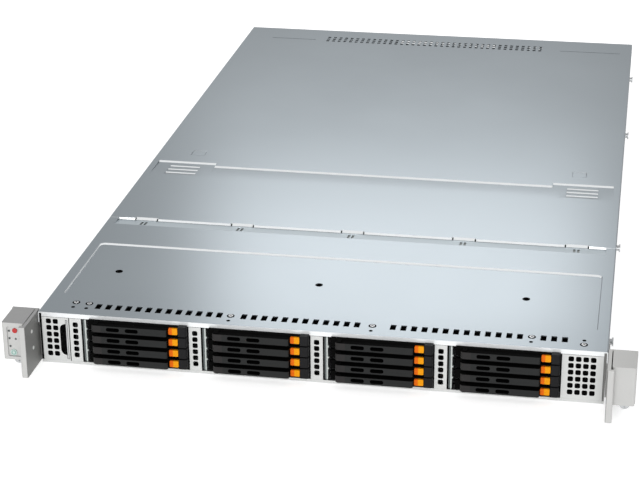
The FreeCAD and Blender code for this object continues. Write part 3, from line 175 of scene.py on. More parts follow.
bpy.ops.object.select_all(action="DESELECT")
floor_level = cad_bounds[0][2] - FLOOR_GAP
bpy.ops.mesh.primitive_plane_add(size=FLOOR_SIZE, location=(*FLOOR_MIDDLE, floor_level))
floor = bpy.context.object
floor.name = "floor"
paper = bpy.data.materials.new("paper")
paper.use_nodes = True
tree = paper.node_tree
shader = tree.nodes["Principled BSDF"]
shader.inputs["Base Color"].default_value = (PAPER_TONE, PAPER_TONE, PAPER_TONE, 1)
shader.inputs["Roughness"].default_value = PAPER_ROUGH
shader.inputs["Emission Color"].default_value = (1, 1, 1, 1)
glow = tree.nodes.new("ShaderNodeMath")
glow.operation = "MULTIPLY"
glow.inputs[1].default_value = FLOOR_GLOW
tree.links.new(seen_directly(tree), glow.inputs[0])
tree.links.new(glow.outputs[0], shader.inputs["Emission Strength"])
floor.data.materials.append(paper)
print("floor at z", round(floor.location.z, 4))

# %% [markdown]
# Real finishes are never one flat colour. Three effects recur on this machine, so each is a node
# group that is built once: the fine grain of rolled or moulded surfaces, the broad unevenness that
# handling leaves, and the crystals of zinc on galvanised sheet.

# %% Shared effects


def effect(name, wanted, given):
    group = bpy.data.node_groups.new(name, "ShaderNodeTree")
    for socket, kind, value in wanted:
        item = group.interface.new_socket(socket, in_out="INPUT", socket_type=kind)
        if value is not None:
            item.default_value = value
    for socket, kind in given:
        group.interface.new_socket(socket, in_out="OUTPUT", socket_type=kind)
    return group, group.nodes.new("NodeGroupInput"), group.nodes.new("NodeGroupOutput")


NUMBER = "NodeSocketFloat"
PLACE = "NodeSocketVector"
GRAIN_DETAIL = 3
PATCH_DETAIL = 5
PATCH_ROUGHNESS = 0.6
NOISE_RANGE = (0.3, 0.7)

grain, given, out = effect(
    "fine_grain", [("Place", PLACE, None), ("Size", NUMBER, 900), ("Stretch", PLACE, (1, 1, 1))],
    [("Height", NUMBER)])
stretched = grain.nodes.new("ShaderNodeVectorMath")
stretched.operation = "MULTIPLY"
noise = grain.nodes.new("ShaderNodeTexNoise")
noise.inputs["Detail"].default_value = GRAIN_DETAIL
grain.links.new(given.outputs["Place"], stretched.inputs[0])
grain.links.new(given.outputs["Stretch"], stretched.inputs[1])
grain.links.new(stretched.outputs["Vector"], noise.inputs["Vector"])
grain.links.new(given.outputs["Size"], noise.inputs["Scale"])
grain.links.new(noise.outputs["Fac"], out.inputs["Height"])

handling, given, out = effect(
    "handling",
    [("Place", PLACE, None), ("Size", NUMBER, 9), ("Low", NUMBER, 0.3), ("High", NUMBER, 0.5)],
    [("Value", NUMBER), ("Mask", NUMBER)])
noise = handling.nodes.new("ShaderNodeTexNoise")
noise.inputs["Detail"].default_value = PATCH_DETAIL
noise.inputs["Roughness"].default_value = PATCH_ROUGHNESS
spread = handling.nodes.new("ShaderNodeMapRange")
spread.inputs["From Min"].default_value = NOISE_RANGE[0]
spread.inputs["From Max"].default_value = NOISE_RANGE[1]
handling.links.new(given.outputs["Place"], noise.inputs["Vector"])
handling.links.new(given.outputs["Size"], noise.inputs["Scale"])
handling.links.new(noise.outputs["Fac"], spread.inputs["Value"])
handling.links.new(given.outputs["Low"], spread.inputs["To Min"])
handling.links.new(given.outputs["High"], spread.inputs["To Max"])
handling.links.new(spread.outputs["Result"], out.inputs["Value"])
handling.links.new(noise.outputs["Fac"], out.inputs["Mask"])

crystals, given, out = effect(
    "zinc_crystals", [("Place", PLACE, None), ("Size", NUMBER, 120)], [("Tone", NUMBER)])
cells = crystals.nodes.new("ShaderNodeTexVoronoi")
cells.inputs["Randomness"].default_value = 1
split = crystals.nodes.new("ShaderNodeSeparateColor")
crystals.links.new(given.outputs["Place"], cells.inputs["Vector"])
crystals.links.new(given.outputs["Size"], cells.inputs["Scale"])
crystals.links.new(cells.outputs["Color"], split.inputs["Color"])
crystals.links.new(split.outputs["Red"], out.inputs["Tone"])
print("effects:", [group.name for group in bpy.data.node_groups])

# %% [markdown]
# One function makes a finish from plain values: two tones that the surface drifts between, how
# metallic and how rough it is, and the size and depth of its grain. Every value that is the same
# all over goes on the shader's own socket. A low IOR keeps the blacks black at a flat angle, and
# an edge tone below one keeps the lid's sheet from turning white there.

# %% Finishes
COAT_ROUGHNESS = 0.2


def finish(name, dark, light, rough, patch, grain_size, grain_deep, metallic=0.0,
           stretch=(1, 1, 1), coat=0.0, zinc=0.0, specular=0.5, ior=1.5, edge_tone=1.0):
    material = bpy.data.materials.new(name)
    material.use_nodes = True
    tree = material.node_tree
    shader = tree.nodes["Principled BSDF"]
    shader.inputs["Metallic"].default_value = metallic
    shader.inputs["Coat Weight"].default_value = coat
    shader.inputs["Coat Roughness"].default_value = COAT_ROUGHNESS
    shader.inputs["Specular IOR Level"].default_value = specular
    shader.inputs["IOR"].default_value = ior
    shader.inputs["Specular Tint"].default_value = (edge_tone, edge_tone, edge_tone, 1)
    place = tree.nodes.new("ShaderNodeTexCoord").outputs["Object"]
    broad = tree.nodes.new("ShaderNodeGroup")
    broad.node_tree = handling
    broad.inputs["Size"].default_value = patch
    broad.inputs["Low"].default_value = rough[0]
    broad.inputs["High"].default_value = rough[1]
    fine = tree.nodes.new("ShaderNodeGroup")
    fine.node_tree = grain
    fine.inputs["Size"].default_value = grain_size
    fine.inputs["Stretch"].default_value = stretch
    tone = tree.nodes.new("ShaderNodeMix")
    tone.data_type = "RGBA"
    tone.inputs["A"].default_value = (*dark, 1)
    tone.inputs["B"].default_value = (*light, 1)
    tree.links.new(place, broad.inputs["Place"])
    tree.links.new(place, fine.inputs["Place"])
    tree.links.new(broad.outputs["Value"], shader.inputs["Roughness"])
    mask = broad.outputs["Mask"]
    if zinc:
        spangle = tree.nodes.new("ShaderNodeGroup")
        spangle.node_tree = crystals
        tree.links.new(place, spangle.inputs["Place"])
        blend = tree.nodes.new("ShaderNodeMix")
        blend.inputs["Factor"].default_value = zinc
        tree.links.new(mask, blend.inputs["A"])
        tree.links.new(spangle.outputs["Tone"], blend.inputs["B"])
        mask = blend.outputs["Result"]
    tree.links.new(mask, tone.inputs["Factor"])
    tree.links.new(tone.outputs["Result"], shader.inputs["Base Color"])
    bump = tree.nodes.new("ShaderNodeBump")
    bump.inputs["Strength"].default_value = 1
    bump.inputs["Distance"].default_value = grain_deep * MM
    tree.links.new(fine.outputs["Height"], bump.inputs["Height"])
    tree.links.new(bump.outputs["Normal"], shader.inputs["Normal"])
    return material


FINISHES = {
    "cover_steel": finish(
        "lid sheet", (0.250, 0.279, 0.301), (0.275, 0.306, 0.328), metallic=0.9,
        rough=(0.285, 0.31), patch=5, grain_size=500, grain_deep=0.0015, stretch=(1, 0.12, 1),
        edge_tone=0.6),
    "tray_steel": finish(
        "galvanised sheet", (0.42, 0.43, 0.43), (0.62, 0.63, 0.64), metallic=0.8, rough=(0.3, 0.42),
        patch=12, grain_size=700, grain_deep=0.004, zinc=0.7),
    "front_paint": finish(
        "grille paint", (0.70, 0.71, 0.70), (0.80, 0.81, 0.80), rough=(0.42, 0.5), patch=30,
        grain_size=1500, grain_deep=0.01),
    "ear_paint": finish(
        "ear paint", (0.52, 0.52, 0.51), (0.60, 0.60, 0.59), metallic=0.35, rough=(0.3, 0.4),
        patch=30, grain_size=1800, grain_deep=0.012),
    "carrier": finish(
        "black carrier", (0.003, 0.003, 0.003), (0.007, 0.007, 0.007), rough=(0.45, 0.6), patch=60,
        grain_size=1500, grain_deep=0.02, ior=1.03),
    "lever_plastic": finish(
        "charcoal lever", (0.014, 0.015, 0.015), (0.023, 0.024, 0.024), rough=(0.48, 0.58),
        patch=60, grain_size=1800, grain_deep=0.02, ior=1.25),
    "latch_orange": finish(
        "orange latch", (0.75, 0.16, 0.01), (0.9, 0.23, 0.015), rough=(0.35, 0.45), patch=40,
        grain_size=1500, grain_deep=0.015),
    "button_green": finish(
        "power button", (0.52, 0.66, 0.62), (0.66, 0.76, 0.73), rough=(0.25, 0.35), patch=80,
        grain_size=1500, grain_deep=0.01),
    "button_red": finish(
        "red button", (0.45, 0.02, 0.02), (0.62, 0.035, 0.03), rough=(0.25, 0.35), patch=80,
        grain_size=1500, grain_deep=0.01),
    "light_lens": finish(
        "light lens", (0.03, 0.035, 0.04), (0.06, 0.07, 0.07), rough=(0.15, 0.25), patch=80,
        grain_size=1500, grain_deep=0.005, coat=0.6),
    "card_plastic": finish(
        "card", (0.55, 0.56, 0.56), (0.7, 0.71, 0.71), rough=(0.4, 0.5), patch=30, grain_size=1500,
        grain_deep=0.01),
    "fastener": finish(
        "bright screw", (0.45, 0.46, 0.47), (0.62, 0.63, 0.64), metallic=0.85, rough=(0.25, 0.38),
        patch=90, grain_size=1200, grain_deep=0.01),
    "board_green": finish(
        "circuit board", (0.012, 0.07, 0.03), (0.02, 0.11, 0.05), rough=(0.3, 0.45), patch=70,
        grain_size=900, grain_deep=0.02, coat=0.3),
    "memory_board": finish(
        "memory board", (0.01, 0.05, 0.025), (0.015, 0.08, 0.04), rough=(0.3, 0.45), patch=70,
        grain_size=900, grain_deep=0.02),
    "sink_metal": finish(
        "heat sink", (0.55, 0.56, 0.58), (0.7, 0.71, 0.72), metallic=0.9, rough=(0.25, 0.38),
        patch=40, grain_size=900, grain_deep=0.008, stretch=(1, 0.1, 1)),
    "duct_plastic": finish(
        "duct film", (0.02, 0.02, 0.022), (0.035, 0.035, 0.037), rough=(0.35, 0.5), patch=20,
        grain_size=900, grain_deep=0.02),
    "fan_plastic": finish(
        "fan plastic", (0.015, 0.015, 0.016), (0.03, 0.03, 0.031), rough=(0.4, 0.5), patch=40,
        grain_size=1400, grain_deep=0.02),
    "supply_steel": finish(
        "supply sheet", (0.5, 0.51, 0.52), (0.64, 0.65, 0.66), metallic=0.75, rough=(0.3, 0.4),
        patch=14, grain_size=700, grain_deep=0.004, zinc=0.4),
    "port_shell": finish(
        "port shell", (0.55, 0.55, 0.54), (0.7, 0.7, 0.69), metallic=0.9, rough=(0.22, 0.32),
        patch=60, grain_size=900, grain_deep=0.004),
}
EXTRA = {
    # Two tones of one orange: painted shade beside the lever, painted light on the rest of the
    # button.
    "orange_near": finish(
        "orange painted shade", (0.82, 0.125, 0.0), (0.98, 0.20, 0.0), rough=(0.35, 0.45), patch=60,
        grain_size=1500, grain_deep=0.01, specular=0.2),
    "orange_far": finish(
        "orange painted lit", (0.95, 0.33, 0.0), (1.0, 0.42, 0.0), rough=(0.35, 0.45), patch=60,
        grain_size=1500, grain_deep=0.01, specular=0.2),
    "end_piece": finish(
        "dark end piece", (0.010, 0.010, 0.011), (0.017, 0.017, 0.018), rough=(0.45, 0.55),
        patch=60, grain_size=1800, grain_deep=0.015, ior=1.2),
    # Near-white painted highlight for the lid's edges and steps that look to the front.
    "lid_edge": finish(
        "lid painted highlight", (0.88, 0.90, 0.91), (0.95, 0.97, 0.98), metallic=0.35, rough=(0.3, 0.4),
        patch=30, grain_size=900, grain_deep=0.002),
    # A lighter copy of the lid sheet: painted light on the ramp, so its slope doesn't read darker.
    "lid_ramp": finish(
        "lid ramp painted light", (0.36, 0.41, 0.44), (0.40, 0.45, 0.48), metallic=0.8, rough=(0.3, 0.36),
        patch=5, grain_size=500, grain_deep=0.001, edge_tone=0.7),
    # Near black: painted shade behind the flanges and panels, on the tray's front edges, in the
    # screw crosses and under the screw heads; also the black of the foam and of the screws in the
    # recess.
    "hollow": finish(
        "near black and painted shade", (0.002, 0.002, 0.002), (0.005, 0.005, 0.005), rough=(0.7, 0.85), patch=40,
        grain_size=900, grain_deep=0.01, ior=1.03),
    # Painted shade for the groove at the left of each flange.
    "flange_mark": finish(
        "flange shade", (0.085, 0.10, 0.10), (0.125, 0.14, 0.14), metallic=0.3, rough=(0.4, 0.5),
        patch=40, grain_size=900, grain_deep=0.004),
    "stroke_shade": finish(
        "stroke shade", (0.13, 0.15, 0.15), (0.17, 0.19, 0.19), metallic=0.3, rough=(0.4, 0.5),
        patch=40, grain_size=900, grain_deep=0.004),
    "flange_face": finish(
        "flange face", (0.54, 0.58, 0.56), (0.64, 0.68, 0.66), metallic=0.2, rough=(0.4, 0.5),
        patch=40, grain_size=900, grain_deep=0.004),
    "lever_plate": finish(
        "lever plate", (0.021, 0.020, 0.020), (0.032, 0.030, 0.030), rough=(0.48, 0.58), patch=60,
        grain_size=1800, grain_deep=0.02, ior=1.25),
    # The ears' top faces are painted darker than their fronts, as shade; each ear has its own tone.
    "left_ear_top": finish(
        "left ear top painted shade", (0.29, 0.29, 0.29), (0.34, 0.34, 0.34), metallic=0.3, rough=(0.3, 0.4),
        patch=30, grain_size=1800, grain_deep=0.012),
    "right_ear_top": finish(
        "right ear top painted shade", (0.42, 0.42, 0.41), (0.48, 0.48, 0.47), metallic=0.3, rough=(0.3, 0.4),
        patch=30, grain_size=1800, grain_deep=0.012),
    # Painted shade for sides turned from the light: the ears' inner sides, the tray's right front
    # edge and the right panel's outer side.
    "ear_inside": finish(
        "side painted shade", (0.20, 0.20, 0.195), (0.26, 0.26, 0.25), metallic=0.2, rough=(0.4, 0.5),
        patch=30, grain_size=1800, grain_deep=0.012),
    "teal_ring": finish(
        "teal ring", (0.20, 0.42, 0.36), (0.32, 0.56, 0.49), rough=(0.25, 0.35), patch=80,
        grain_size=1500, grain_deep=0.004),
    "contact_gold": finish(
        "contact gold", (0.75, 0.5, 0.16), (0.85, 0.6, 0.22), metallic=0.95, rough=(0.25, 0.35),
        patch=60, grain_size=900, grain_deep=0.004),
    "drive_case": finish(
        "drive case", (0.35, 0.36, 0.37), (0.45, 0.46, 0.47), metallic=0.8, rough=(0.32, 0.42),
        patch=20, grain_size=900, grain_deep=0.006, stretch=(1, 0.1, 1)),
}
slot_of = {row["node"]: row["material_slot"] for row in frame["record"]["subparts"]}
body_of = {node: body for body, members in frame["record"]["behaviour"]["bodies"].items()
           for node in members}
print("finishes:", len(FINISHES) + len(EXTRA), "slots by node:", len(slot_of))

# %% [markdown]
# Edges, points and faces are picked in code by their place or their normal, as a hand would click
# them. One helper rounds the chosen edges, one pushes the chosen points, one cuts a mesh across,
# and one gives the chosen faces another finish. Places are in millimetres from here on, because
# that is how such a machine is drawn.

# %% Helpers for choosing by place
SHARP = math.radians(30)
CRISP = math.radians(6)


def only(thing):
    bpy.ops.object.select_all(action="DESELECT")
    thing.select_set(True)
    bpy.context.view_layer.objects.active = thing


def clear_choice(mesh):
    for part in (mesh.vertices, mesh.edges, mesh.polygons):
        part.foreach_set("select", [False] * len(part))


def round_edges(piece, wanted, radius, steps):
    only(piece)
    mesh = piece.data
    clear_choice(mesh)
    bpy.context.tool_settings.mesh_select_mode = (False, True, False)
    for edge in mesh.edges:
        low, high = (mesh.vertices[index].co / MM for index in edge.vertices)
        edge.select = bool(wanted(low, high))
    bpy.ops.object.mode_set(mode="EDIT")
    bpy.ops.mesh.bevel(offset=radius * MM, segments=steps, affect="EDGES")
    bpy.ops.object.mode_set(mode="OBJECT")


def push_points(piece, wanted, step):
    only(piece)
    mesh = piece.data
    clear_choice(mesh)
    bpy.context.tool_settings.mesh_select_mode = (True, False, False)
    count = 0
    for vertex in mesh.vertices:
        vertex.select = bool(wanted(vertex.co / MM))
        count += vertex.select
    bpy.ops.object.mode_set(mode="EDIT")
    bpy.ops.transform.translate(value=Vector(step) * MM)
    bpy.ops.object.mode_set(mode="OBJECT")
    return count


def cut_across(piece, place, normal):
    only(piece)
    bpy.ops.object.mode_set(mode="EDIT")
    bpy.ops.mesh.select_all(action="SELECT")
    bpy.ops.mesh.bisect(plane_co=Vector(place) * MM, plane_no=normal)
    bpy.ops.object.mode_set(mode="OBJECT")


def paint(piece, finish_name, wanted):
    piece.data.materials.append(EXTRA.get(finish_name) or FINISHES[finish_name])
    index = len(piece.data.materials) - 1
    count = 0
    for face in piece.data.polygons:
        if wanted(face.center / MM, face.normal):
            face.material_index = index
            count += 1
    return count


def near(value, goal, slack=0.03):
    return abs(value - goal) < slack


def between(value, limits):
    return limits[0] < value < limits[1]


print("helpers ready")

# %% [markdown]
# A press doesn't make upright steps: the sheet slopes between two levels, and that slope is what
# shines. The upper edge of each pressed step is pushed back, or outwards, so the step becomes a
# slope. This is done for the recess in the front cover, for the rear cover's folded front edge,
# and for the thumb steps and their ribs. Each row says which points move, and how far in X, Y, Z.

# %% Sloping the pressed steps
LID_TOP = 43
RECESS_SIDE = 208.8
RECESS_FRONT = 34.8
RECESS_BACK = 137.5
BACK_FROM = 125
SIDE_FROM = 200
WEDGE_FRONT = 303
WEDGE_LONG = 34
STEP_Y = 330
STEP_HALF = 157
THUMB_Y = 337
THUMB_HALF = 212
RIBS = (310, 319, 328)
HEM_Y = 195.8
HEM_HALF = 210
SLACK = 0.1


def recess_rim(p):
    inside = between(p.y, (RECESS_FRONT - SLACK, RECESS_BACK + SLACK))
    return near(p.z, LID_TOP) and abs(p.x) < RECESS_SIDE + SLACK and inside


def thumb_step(p):
    outer = near(p.y, THUMB_Y) and between(abs(p.x), (STEP_HALF - SLACK, THUMB_HALF + SLACK))
    inner = near(p.y, STEP_Y) and abs(p.x) < STEP_HALF + SLACK
    return near(p.z, LID_TOP) and (outer or inner)


def rib_top(p):
    return any(near(p.y, y) and near(p.z, LID_TOP - (y - WEDGE_FRONT) / WEDGE_LONG) for y in RIBS)


def hem_top(p):
    return near(p.z, LID_TOP) and near(p.y, HEM_Y) and abs(p.x) < HEM_HALF + SLACK


SLOPES = {
    "front_cover": [(lambda p: recess_rim(p) and p.y > BACK_FROM, (0, 1.8, 0)),
                    (lambda p: recess_rim(p) and p.x < -SIDE_FROM, (-0.4, 0, 0)),
                    (lambda p: recess_rim(p) and p.x > SIDE_FROM, (0.5, 0, 0))],
    "rear_cover": [(thumb_step, (0, 2.4, 0)), (rib_top, (0, 1.5, 0)), (hem_top, (0, 1.2, 0))],
}
print("pieces with sloped steps:", len(SLOPES))

# %% [markdown]
# Sheet and mouldings never end in a knife edge. Each node of the construction is copied, its
# triangles are merged into flat faces, and its edges get a small round, so that every edge catches
# a line of light as it does in the photograph. Some faces are cut across first, where two finishes
# meet in the middle of a flat face. The copy then stands for the node.

# %% Rounded copies of the construction
DRIVE_X = (-139.6, -45.0, 49.6, 144.2)
BAY_X = (-189, -94.4, 0.2, 94.8)
FLANGE_START = 6.1
FLANGE_SPLIT = 1.35
BUTTON_SHADE_EDGE = 28.7
PLATE_END = -26.2
SILL_TOP = 2.45
MERGE = 0.01
FLAT = math.radians(1)
EDGE_STEPS = 2
FACE_WEIGHT = 100


def cut_for_finishes(piece, name):
    if name.startswith("drive_") and name[6].isdigit():
        cut_across(piece, (DRIVE_X[int(name[6]) - 1] + BUTTON_SHADE_EDGE, 0, 0), (1, 0, 0))
    elif name.startswith("lever_"):
        cut_across(piece, (DRIVE_X[int(name[6]) - 1] + PLATE_END, 0, 0), (1, 0, 0))
    elif name == "chassis_base":
        cut_across(piece, (0, 0, SILL_TOP), (0, 0, 1))
    elif name == "drive_cage":
        for start in BAY_X:
            cut_across(piece, (start + FLANGE_START + FLANGE_SPLIT, 0, 0), (1, 0, 0))


def dressed(name, edge):
    piece = bpy.data.objects.new(name + "_dressed", nodes[name].data.copy())
    bpy.context.scene.collection.objects.link(piece)
    only(piece)
    piece.data.materials.clear()
    piece.data.materials.append(FINISHES[slot_of[name]])
    bpy.ops.mesh.customdata_custom_splitnormals_clear()
    bpy.ops.object.mode_set(mode="EDIT")
    bpy.ops.mesh.select_all(action="SELECT")
    bpy.ops.mesh.remove_doubles(threshold=MERGE * MM)
    bpy.ops.mesh.dissolve_limited(angle_limit=FLAT)
    bpy.ops.object.mode_set(mode="OBJECT")
    for wanted, step in SLOPES.get(name, ()):
        print(name, "points pushed:", push_points(piece, wanted, step))
    cut_for_finishes(piece, name)
    bevel = piece.modifiers.new("edge", "BEVEL")
    bevel.width = edge * MM
    bevel.segments = EDGE_STEPS
    bevel.limit_method = "ANGLE"
    bevel.angle_limit = SHARP
    bevel.use_clamp_overlap = True
    bpy.ops.object.modifier_apply(modifier=bevel.name)
    bpy.ops.object.shade_smooth_by_angle(angle=CRISP if name in SLOPES else SHARP)
    flats = piece.modifiers.new("flats", "WEIGHTED_NORMAL")
    flats.mode = "FACE_AREA"
    flats.weight = FACE_WEIGHT
    flats.keep_sharp = True
    bpy.ops.object.modifier_apply(modifier=flats.name)
    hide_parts(name)
    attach(piece, body_of[name])
    return piece


PLAIN = {"fan_rotors", "cpu_heatsinks", "memory_modules", "fan_frames"}
REMADE = {"cover_screws", "front_grilles"}
SMALL_EDGE = 0.15
EDGES = {"front_cover": 0.35, "rear_cover": 0.35, "chassis_base": 0.2, "left_ear": 0.4,
         "right_ear": 0.4, "drive_cage": 0.2, "power_supply_1": 0.2, "power_supply_2": 0.2}
pieces = {}
for name in sorted(nodes):
    if name in PLAIN:
        nodes[name].data.materials.clear()
        nodes[name].data.materials.append(FINISHES[slot_of[name]])
    elif name not in REMADE:
        pieces[name] = dressed(name, EDGES.get(name, SMALL_EDGE))
print("dressed pieces:", len(pieces),
      "faces:", sum(len(piece.data.polygons) for piece in pieces.values()))

# %% [markdown]
# The lid's sheet is dull on its broad faces, and every edge that was cut or folded towards the
# front gets a painted highlight, a near-white finish: the lip over the bays, the back of the
# recess, the rear cover's folded front edge and the steps of the thumb wedge. Those faces look to
# the front, so their normal tells them apart.
# Behind the bays' flanges and the perforated panels all is in shadow, and is painted near black as
# shade.
# In the tests below, c is the middle of a face in millimetres and n is the way the face looks.

# %% Painted highlights and painted shade
UPPER = 39
VENTS_Y = (11, 22)
REAR_HOLES_Y = 740
SLOPE_LOW = 41.9
SLOPE_TILT = (0.2, 0.95)
SLOPE_REACH = 2
RAMP_Y = (181, 196)
RIBS_Y = (309, 331)
RIBS_X = (170, 199)
TONGUE_X = (-185.5, -100.6, -4.5, 90.9, 185.7)
STROKES_Y = (182, 191.5)
STROKE_TOP = 42.6
STROKE_SIDE = (0.6, 2.8)
CAGE_SHADE_Y = (1.3, 30)
FLANGE_FRONT = 1.4
FLANGE_WIDE = 4
TRAY_SHADE_Y = 40
TRAY_EDGE_X = 216
TRAY_EDGE_Y = 0.5
SILL_FRONT = 0.4
EAR_PLATE_X = 219.6
EAR_PLATE_Y = 4


# Faces that get the painted highlight: those above the bays that look to the front.
def faces_front(c, n):
    return n.y < -0.3 and c.z > UPPER and not between(c.y, VENTS_Y)


def recess_left(c, n):
    on_slope = between(n.z, SLOPE_TILT) and c.z > SLOPE_LOW
    return on_slope and between(c.y, (RECESS_FRONT, RECESS_BACK + SLOPE_REACH)) and c.x < -SIDE_FROM


# Faces of the ramp that get the lighter lid sheet, painted light.
def ramp(c, n):
    return n.y > 0.03 and n.z > 0.9 and between(c.y, RAMP_Y)


def thumb_ribs(c, n):
    return n.y < -0.1 and n.z > 0 and between(c.y, RIBS_Y) and between(abs(c.x), RIBS_X)


def stroke_floor(c, n):
    beside_tongue = any(between(abs(c.x - x), STROKE_SIDE) for x in TONGUE_X)
    return between(c.y, STROKES_Y) and c.z < STROKE_TOP and beside_tongue


def on_flange(c, limits):
    return c.y < FLANGE_FRONT and any(between(c.x - x - FLANGE_START, limits) for x in BAY_X)


def tray_right_edge(c, n):
    return c.y < TRAY_EDGE_Y and c.x > TRAY_EDGE_X and c.z > SILL_TOP and n.y < -0.5


# Faces that get the darker painted shade on top of an ear.
def ear_top(c, n):
    return n.z > 0.8


# The inner sides of the ear plates get the painted shade.
def left_ear_shaded_side(c, n):
    return n.x > 0.7 and c.x > -EAR_PLATE_X and c.y < EAR_PLATE_Y


def right_ear_shaded_side(c, n):
    return n.x < -0.7 and c.x < EAR_PLATE_X and c.y < EAR_PLATE_Y


PAINTS = [
    # The lid's front-facing edges, recess sides and thumb ribs get the painted highlight.
    ("lip and recess", "front_cover", "lid_edge", faces_front),
    ("hem and wedge", "rear_cover", "lid_edge",
     lambda c, n: faces_front(c, n) and c.y < REAR_HOLES_Y),
    ("left side of the recess", "front_cover", "lid_edge", recess_left),
    ("ramp", "front_cover", "lid_ramp", ramp),
    ("thumb ribs", "rear_cover", "lid_edge", thumb_ribs),
    ("strokes", "front_cover", "stroke_shade", stroke_floor),
    # Painted shade: the cage behind its flanges is near black.
    ("cage behind its flanges", "drive_cage", "hollow",
     lambda c, n: between(c.y, CAGE_SHADE_Y) or c.z > UPPER),
    # The left strip of each flange is painted darker as shade.
    ("flange shade", "drive_cage", "flange_mark", lambda c, n: on_flange(c, (0, FLANGE_SPLIT))),
    ("flange face", "drive_cage", "flange_face",
     lambda c, n: on_flange(c, (FLANGE_SPLIT, FLANGE_WIDE))),
    # Painted shade: the tray's front edges are near black.
    ("tray front edges", "chassis_base", "hollow",
     lambda c, n: c.y < TRAY_SHADE_Y and c.z > SILL_TOP),
    # The tray's right front edge gets the same painted shade as the ears' inner sides.
    ("right front edge of the tray", "chassis_base", "ear_inside", tray_right_edge),
    ("tray sill", "chassis_base", "front_paint", lambda c, n: c.y < SILL_FRONT and c.z < SILL_TOP),
    ("left ear top painted shade", "left_ear", "left_ear_top", ear_top),
    ("right ear top painted shade", "right_ear", "right_ear_top", ear_top),
    ("inner side of the left ear", "left_ear", "ear_inside", left_ear_shaded_side),
    ("inner side of the right ear", "right_ear", "ear_inside", right_ear_shaded_side),
]
for words, node, finish_name, wanted in PAINTS:
    print(words + ":", paint(pieces[node], finish_name, wanted))

# %% [markdown]
# A drive is one node of the construction, but its parts have different finishes: black carrier,
# bare metal drive, gold contacts, orange release button and dark end piece. The button is painted
# in two tones of one orange: the part beside the lever gets a deeper orange as painted shade, and
# the rest a brighter orange as painted light. The faces are told apart by their place beside the
# middle of the bay. A lever is charcoal only on its face: its top, its ends and its slots are
# painted black as shade.

# %% Finishes within a drive
END_START = 33.05
CASE_START = 12.05
CONTACT_START = 124.7
BUTTON_START = 25.6
BUTTON_FACE = -3.25
END_BACK = -0.2


def paint_drive(piece, middle):
    shaded_span = (BUTTON_START, BUTTON_SHADE_EDGE)
    lit_span = (BUTTON_SHADE_EDGE, END_START)
    paint(piece, "drive_case", lambda c, n: c.y > CASE_START)
    paint(piece, "contact_gold", lambda c, n: c.y > CONTACT_START and abs(n.z) > 0.5)
    paint(piece, "end_piece", lambda c, n: c.x - middle > END_START and c.y < END_BACK)
    # The deeper orange is painted shade from the lever, and the brighter orange is painted light.
    paint(piece, "orange_near", lambda c, n: between(c.x - middle, shaded_span) and c.y < BUTTON_FACE)
    paint(piece, "orange_far", lambda c, n: between(c.x - middle, lit_span) and c.y < BUTTON_FACE)


def paint_lever(piece, middle):
    paint(piece, "lever_plate", lambda c, n: c.x - middle < PLATE_END)
    # The lever's top, ends and slots get the black carrier finish as painted shade.
    paint(piece, "carrier", lambda c, n: n.y > -0.3)


for bay, middle in enumerate(DRIVE_X, 1):
    for row in range(1, 5):
        paint_drive(pieces["drive_%d_%d" % (bay, row)], middle)
        paint_lever(pieces["lever_%d_%d" % (bay, row)], middle)
print("drives and levers painted: 16 of each")

# %% [markdown]
# The lid's screws have a low round head with a cross recess, and sit on a painted shadow. One is
# turned from a cylinder: its rim is beveled and two bars cut the cross. Nine copies of the mesh go
# to their places and are joined as one piece. The painted shadows are thin black discs under the
# heads, the cross in each head is painted black as shade, and each screw of the front row has a
# small dark spot beside it, made the same way as the discs.

# %% Lid screws
LID_SCREWS = [(-194, 21), (-183.3, 20.4), (-69.7, 16.4), (40.4, 16.4), (161.1, 17), (200.2, 10),
              (-178.3, 86), (-13.4, 86), (151.7, 86)]
RECESS_TOP = 42
RECESS_SCREWS_Y = (60, 120)
HEAD_RADIUS = 1.9
HEAD_HIGH = 0.5
HEAD_SUNK = 0.7
HEAD_ROUND = 0.4
CROSS = (2.4, 0.7)
CROSS_DEEP = 0.45
CUTTER_TOP = 2
FIRST_TURN = 17
NEXT_TURN = 41
SHADOW_DISC_RADIUS = 3.05
SPOT_RADIUS = 1.5
SPOT_SIDES = 16
SPOT_BEFORE = -8.6
SPOT_BEHIND = 7
LAST_SCREW_X = 190
DISC_HIGH = 0.2
DISC_LIFT = 0.02
DISC_ROUND = 0.08


def solid_box(low, high):
    bpy.ops.object.select_all(action="DESELECT")
    middle = (Vector(low) + Vector(high)) / 2 * MM
    sides = (Vector(high) - Vector(low)) * MM
    bpy.ops.mesh.primitive_cube_add(size=1, location=middle, scale=sides)
    box = bpy.context.object
    bpy.ops.object.transform_apply(location=True, rotation=True, scale=True)
    return box


def solid_round(place, radius, depth, sides=24, turn=(0, 0, 0)):
    bpy.ops.object.select_all(action="DESELECT")
    bpy.ops.mesh.primitive_cylinder_add(vertices=sides, radius=radius * MM, depth=depth * MM,
                                        location=Vector(place) * MM, rotation=turn)
    thing = bpy.context.object
    bpy.ops.object.transform_apply(location=True, rotation=True, scale=True)
    return thing


# A thin black disc, used as painted shadow under each head and as the dark spot beside the front
# screws.
def dark_disc(x, y, z, radius, sides=24):
    disc = solid_round((x, y, z + DISC_LIFT), radius, DISC_HIGH, sides)
    round_edges(disc, lambda low, high: min(low.z, high.z) > z + DISC_HIGH / 2, DISC_ROUND,
                steps=1)
    return disc


def cut_with(piece, tool):
    only(piece)
    cut = piece.modifiers.new("cut", "BOOLEAN")
    cut.operation = "DIFFERENCE"
    cut.object = tool
    bpy.ops.object.modifier_apply(modifier=cut.name)
    bpy.data.objects.remove(tool, do_unlink=True)


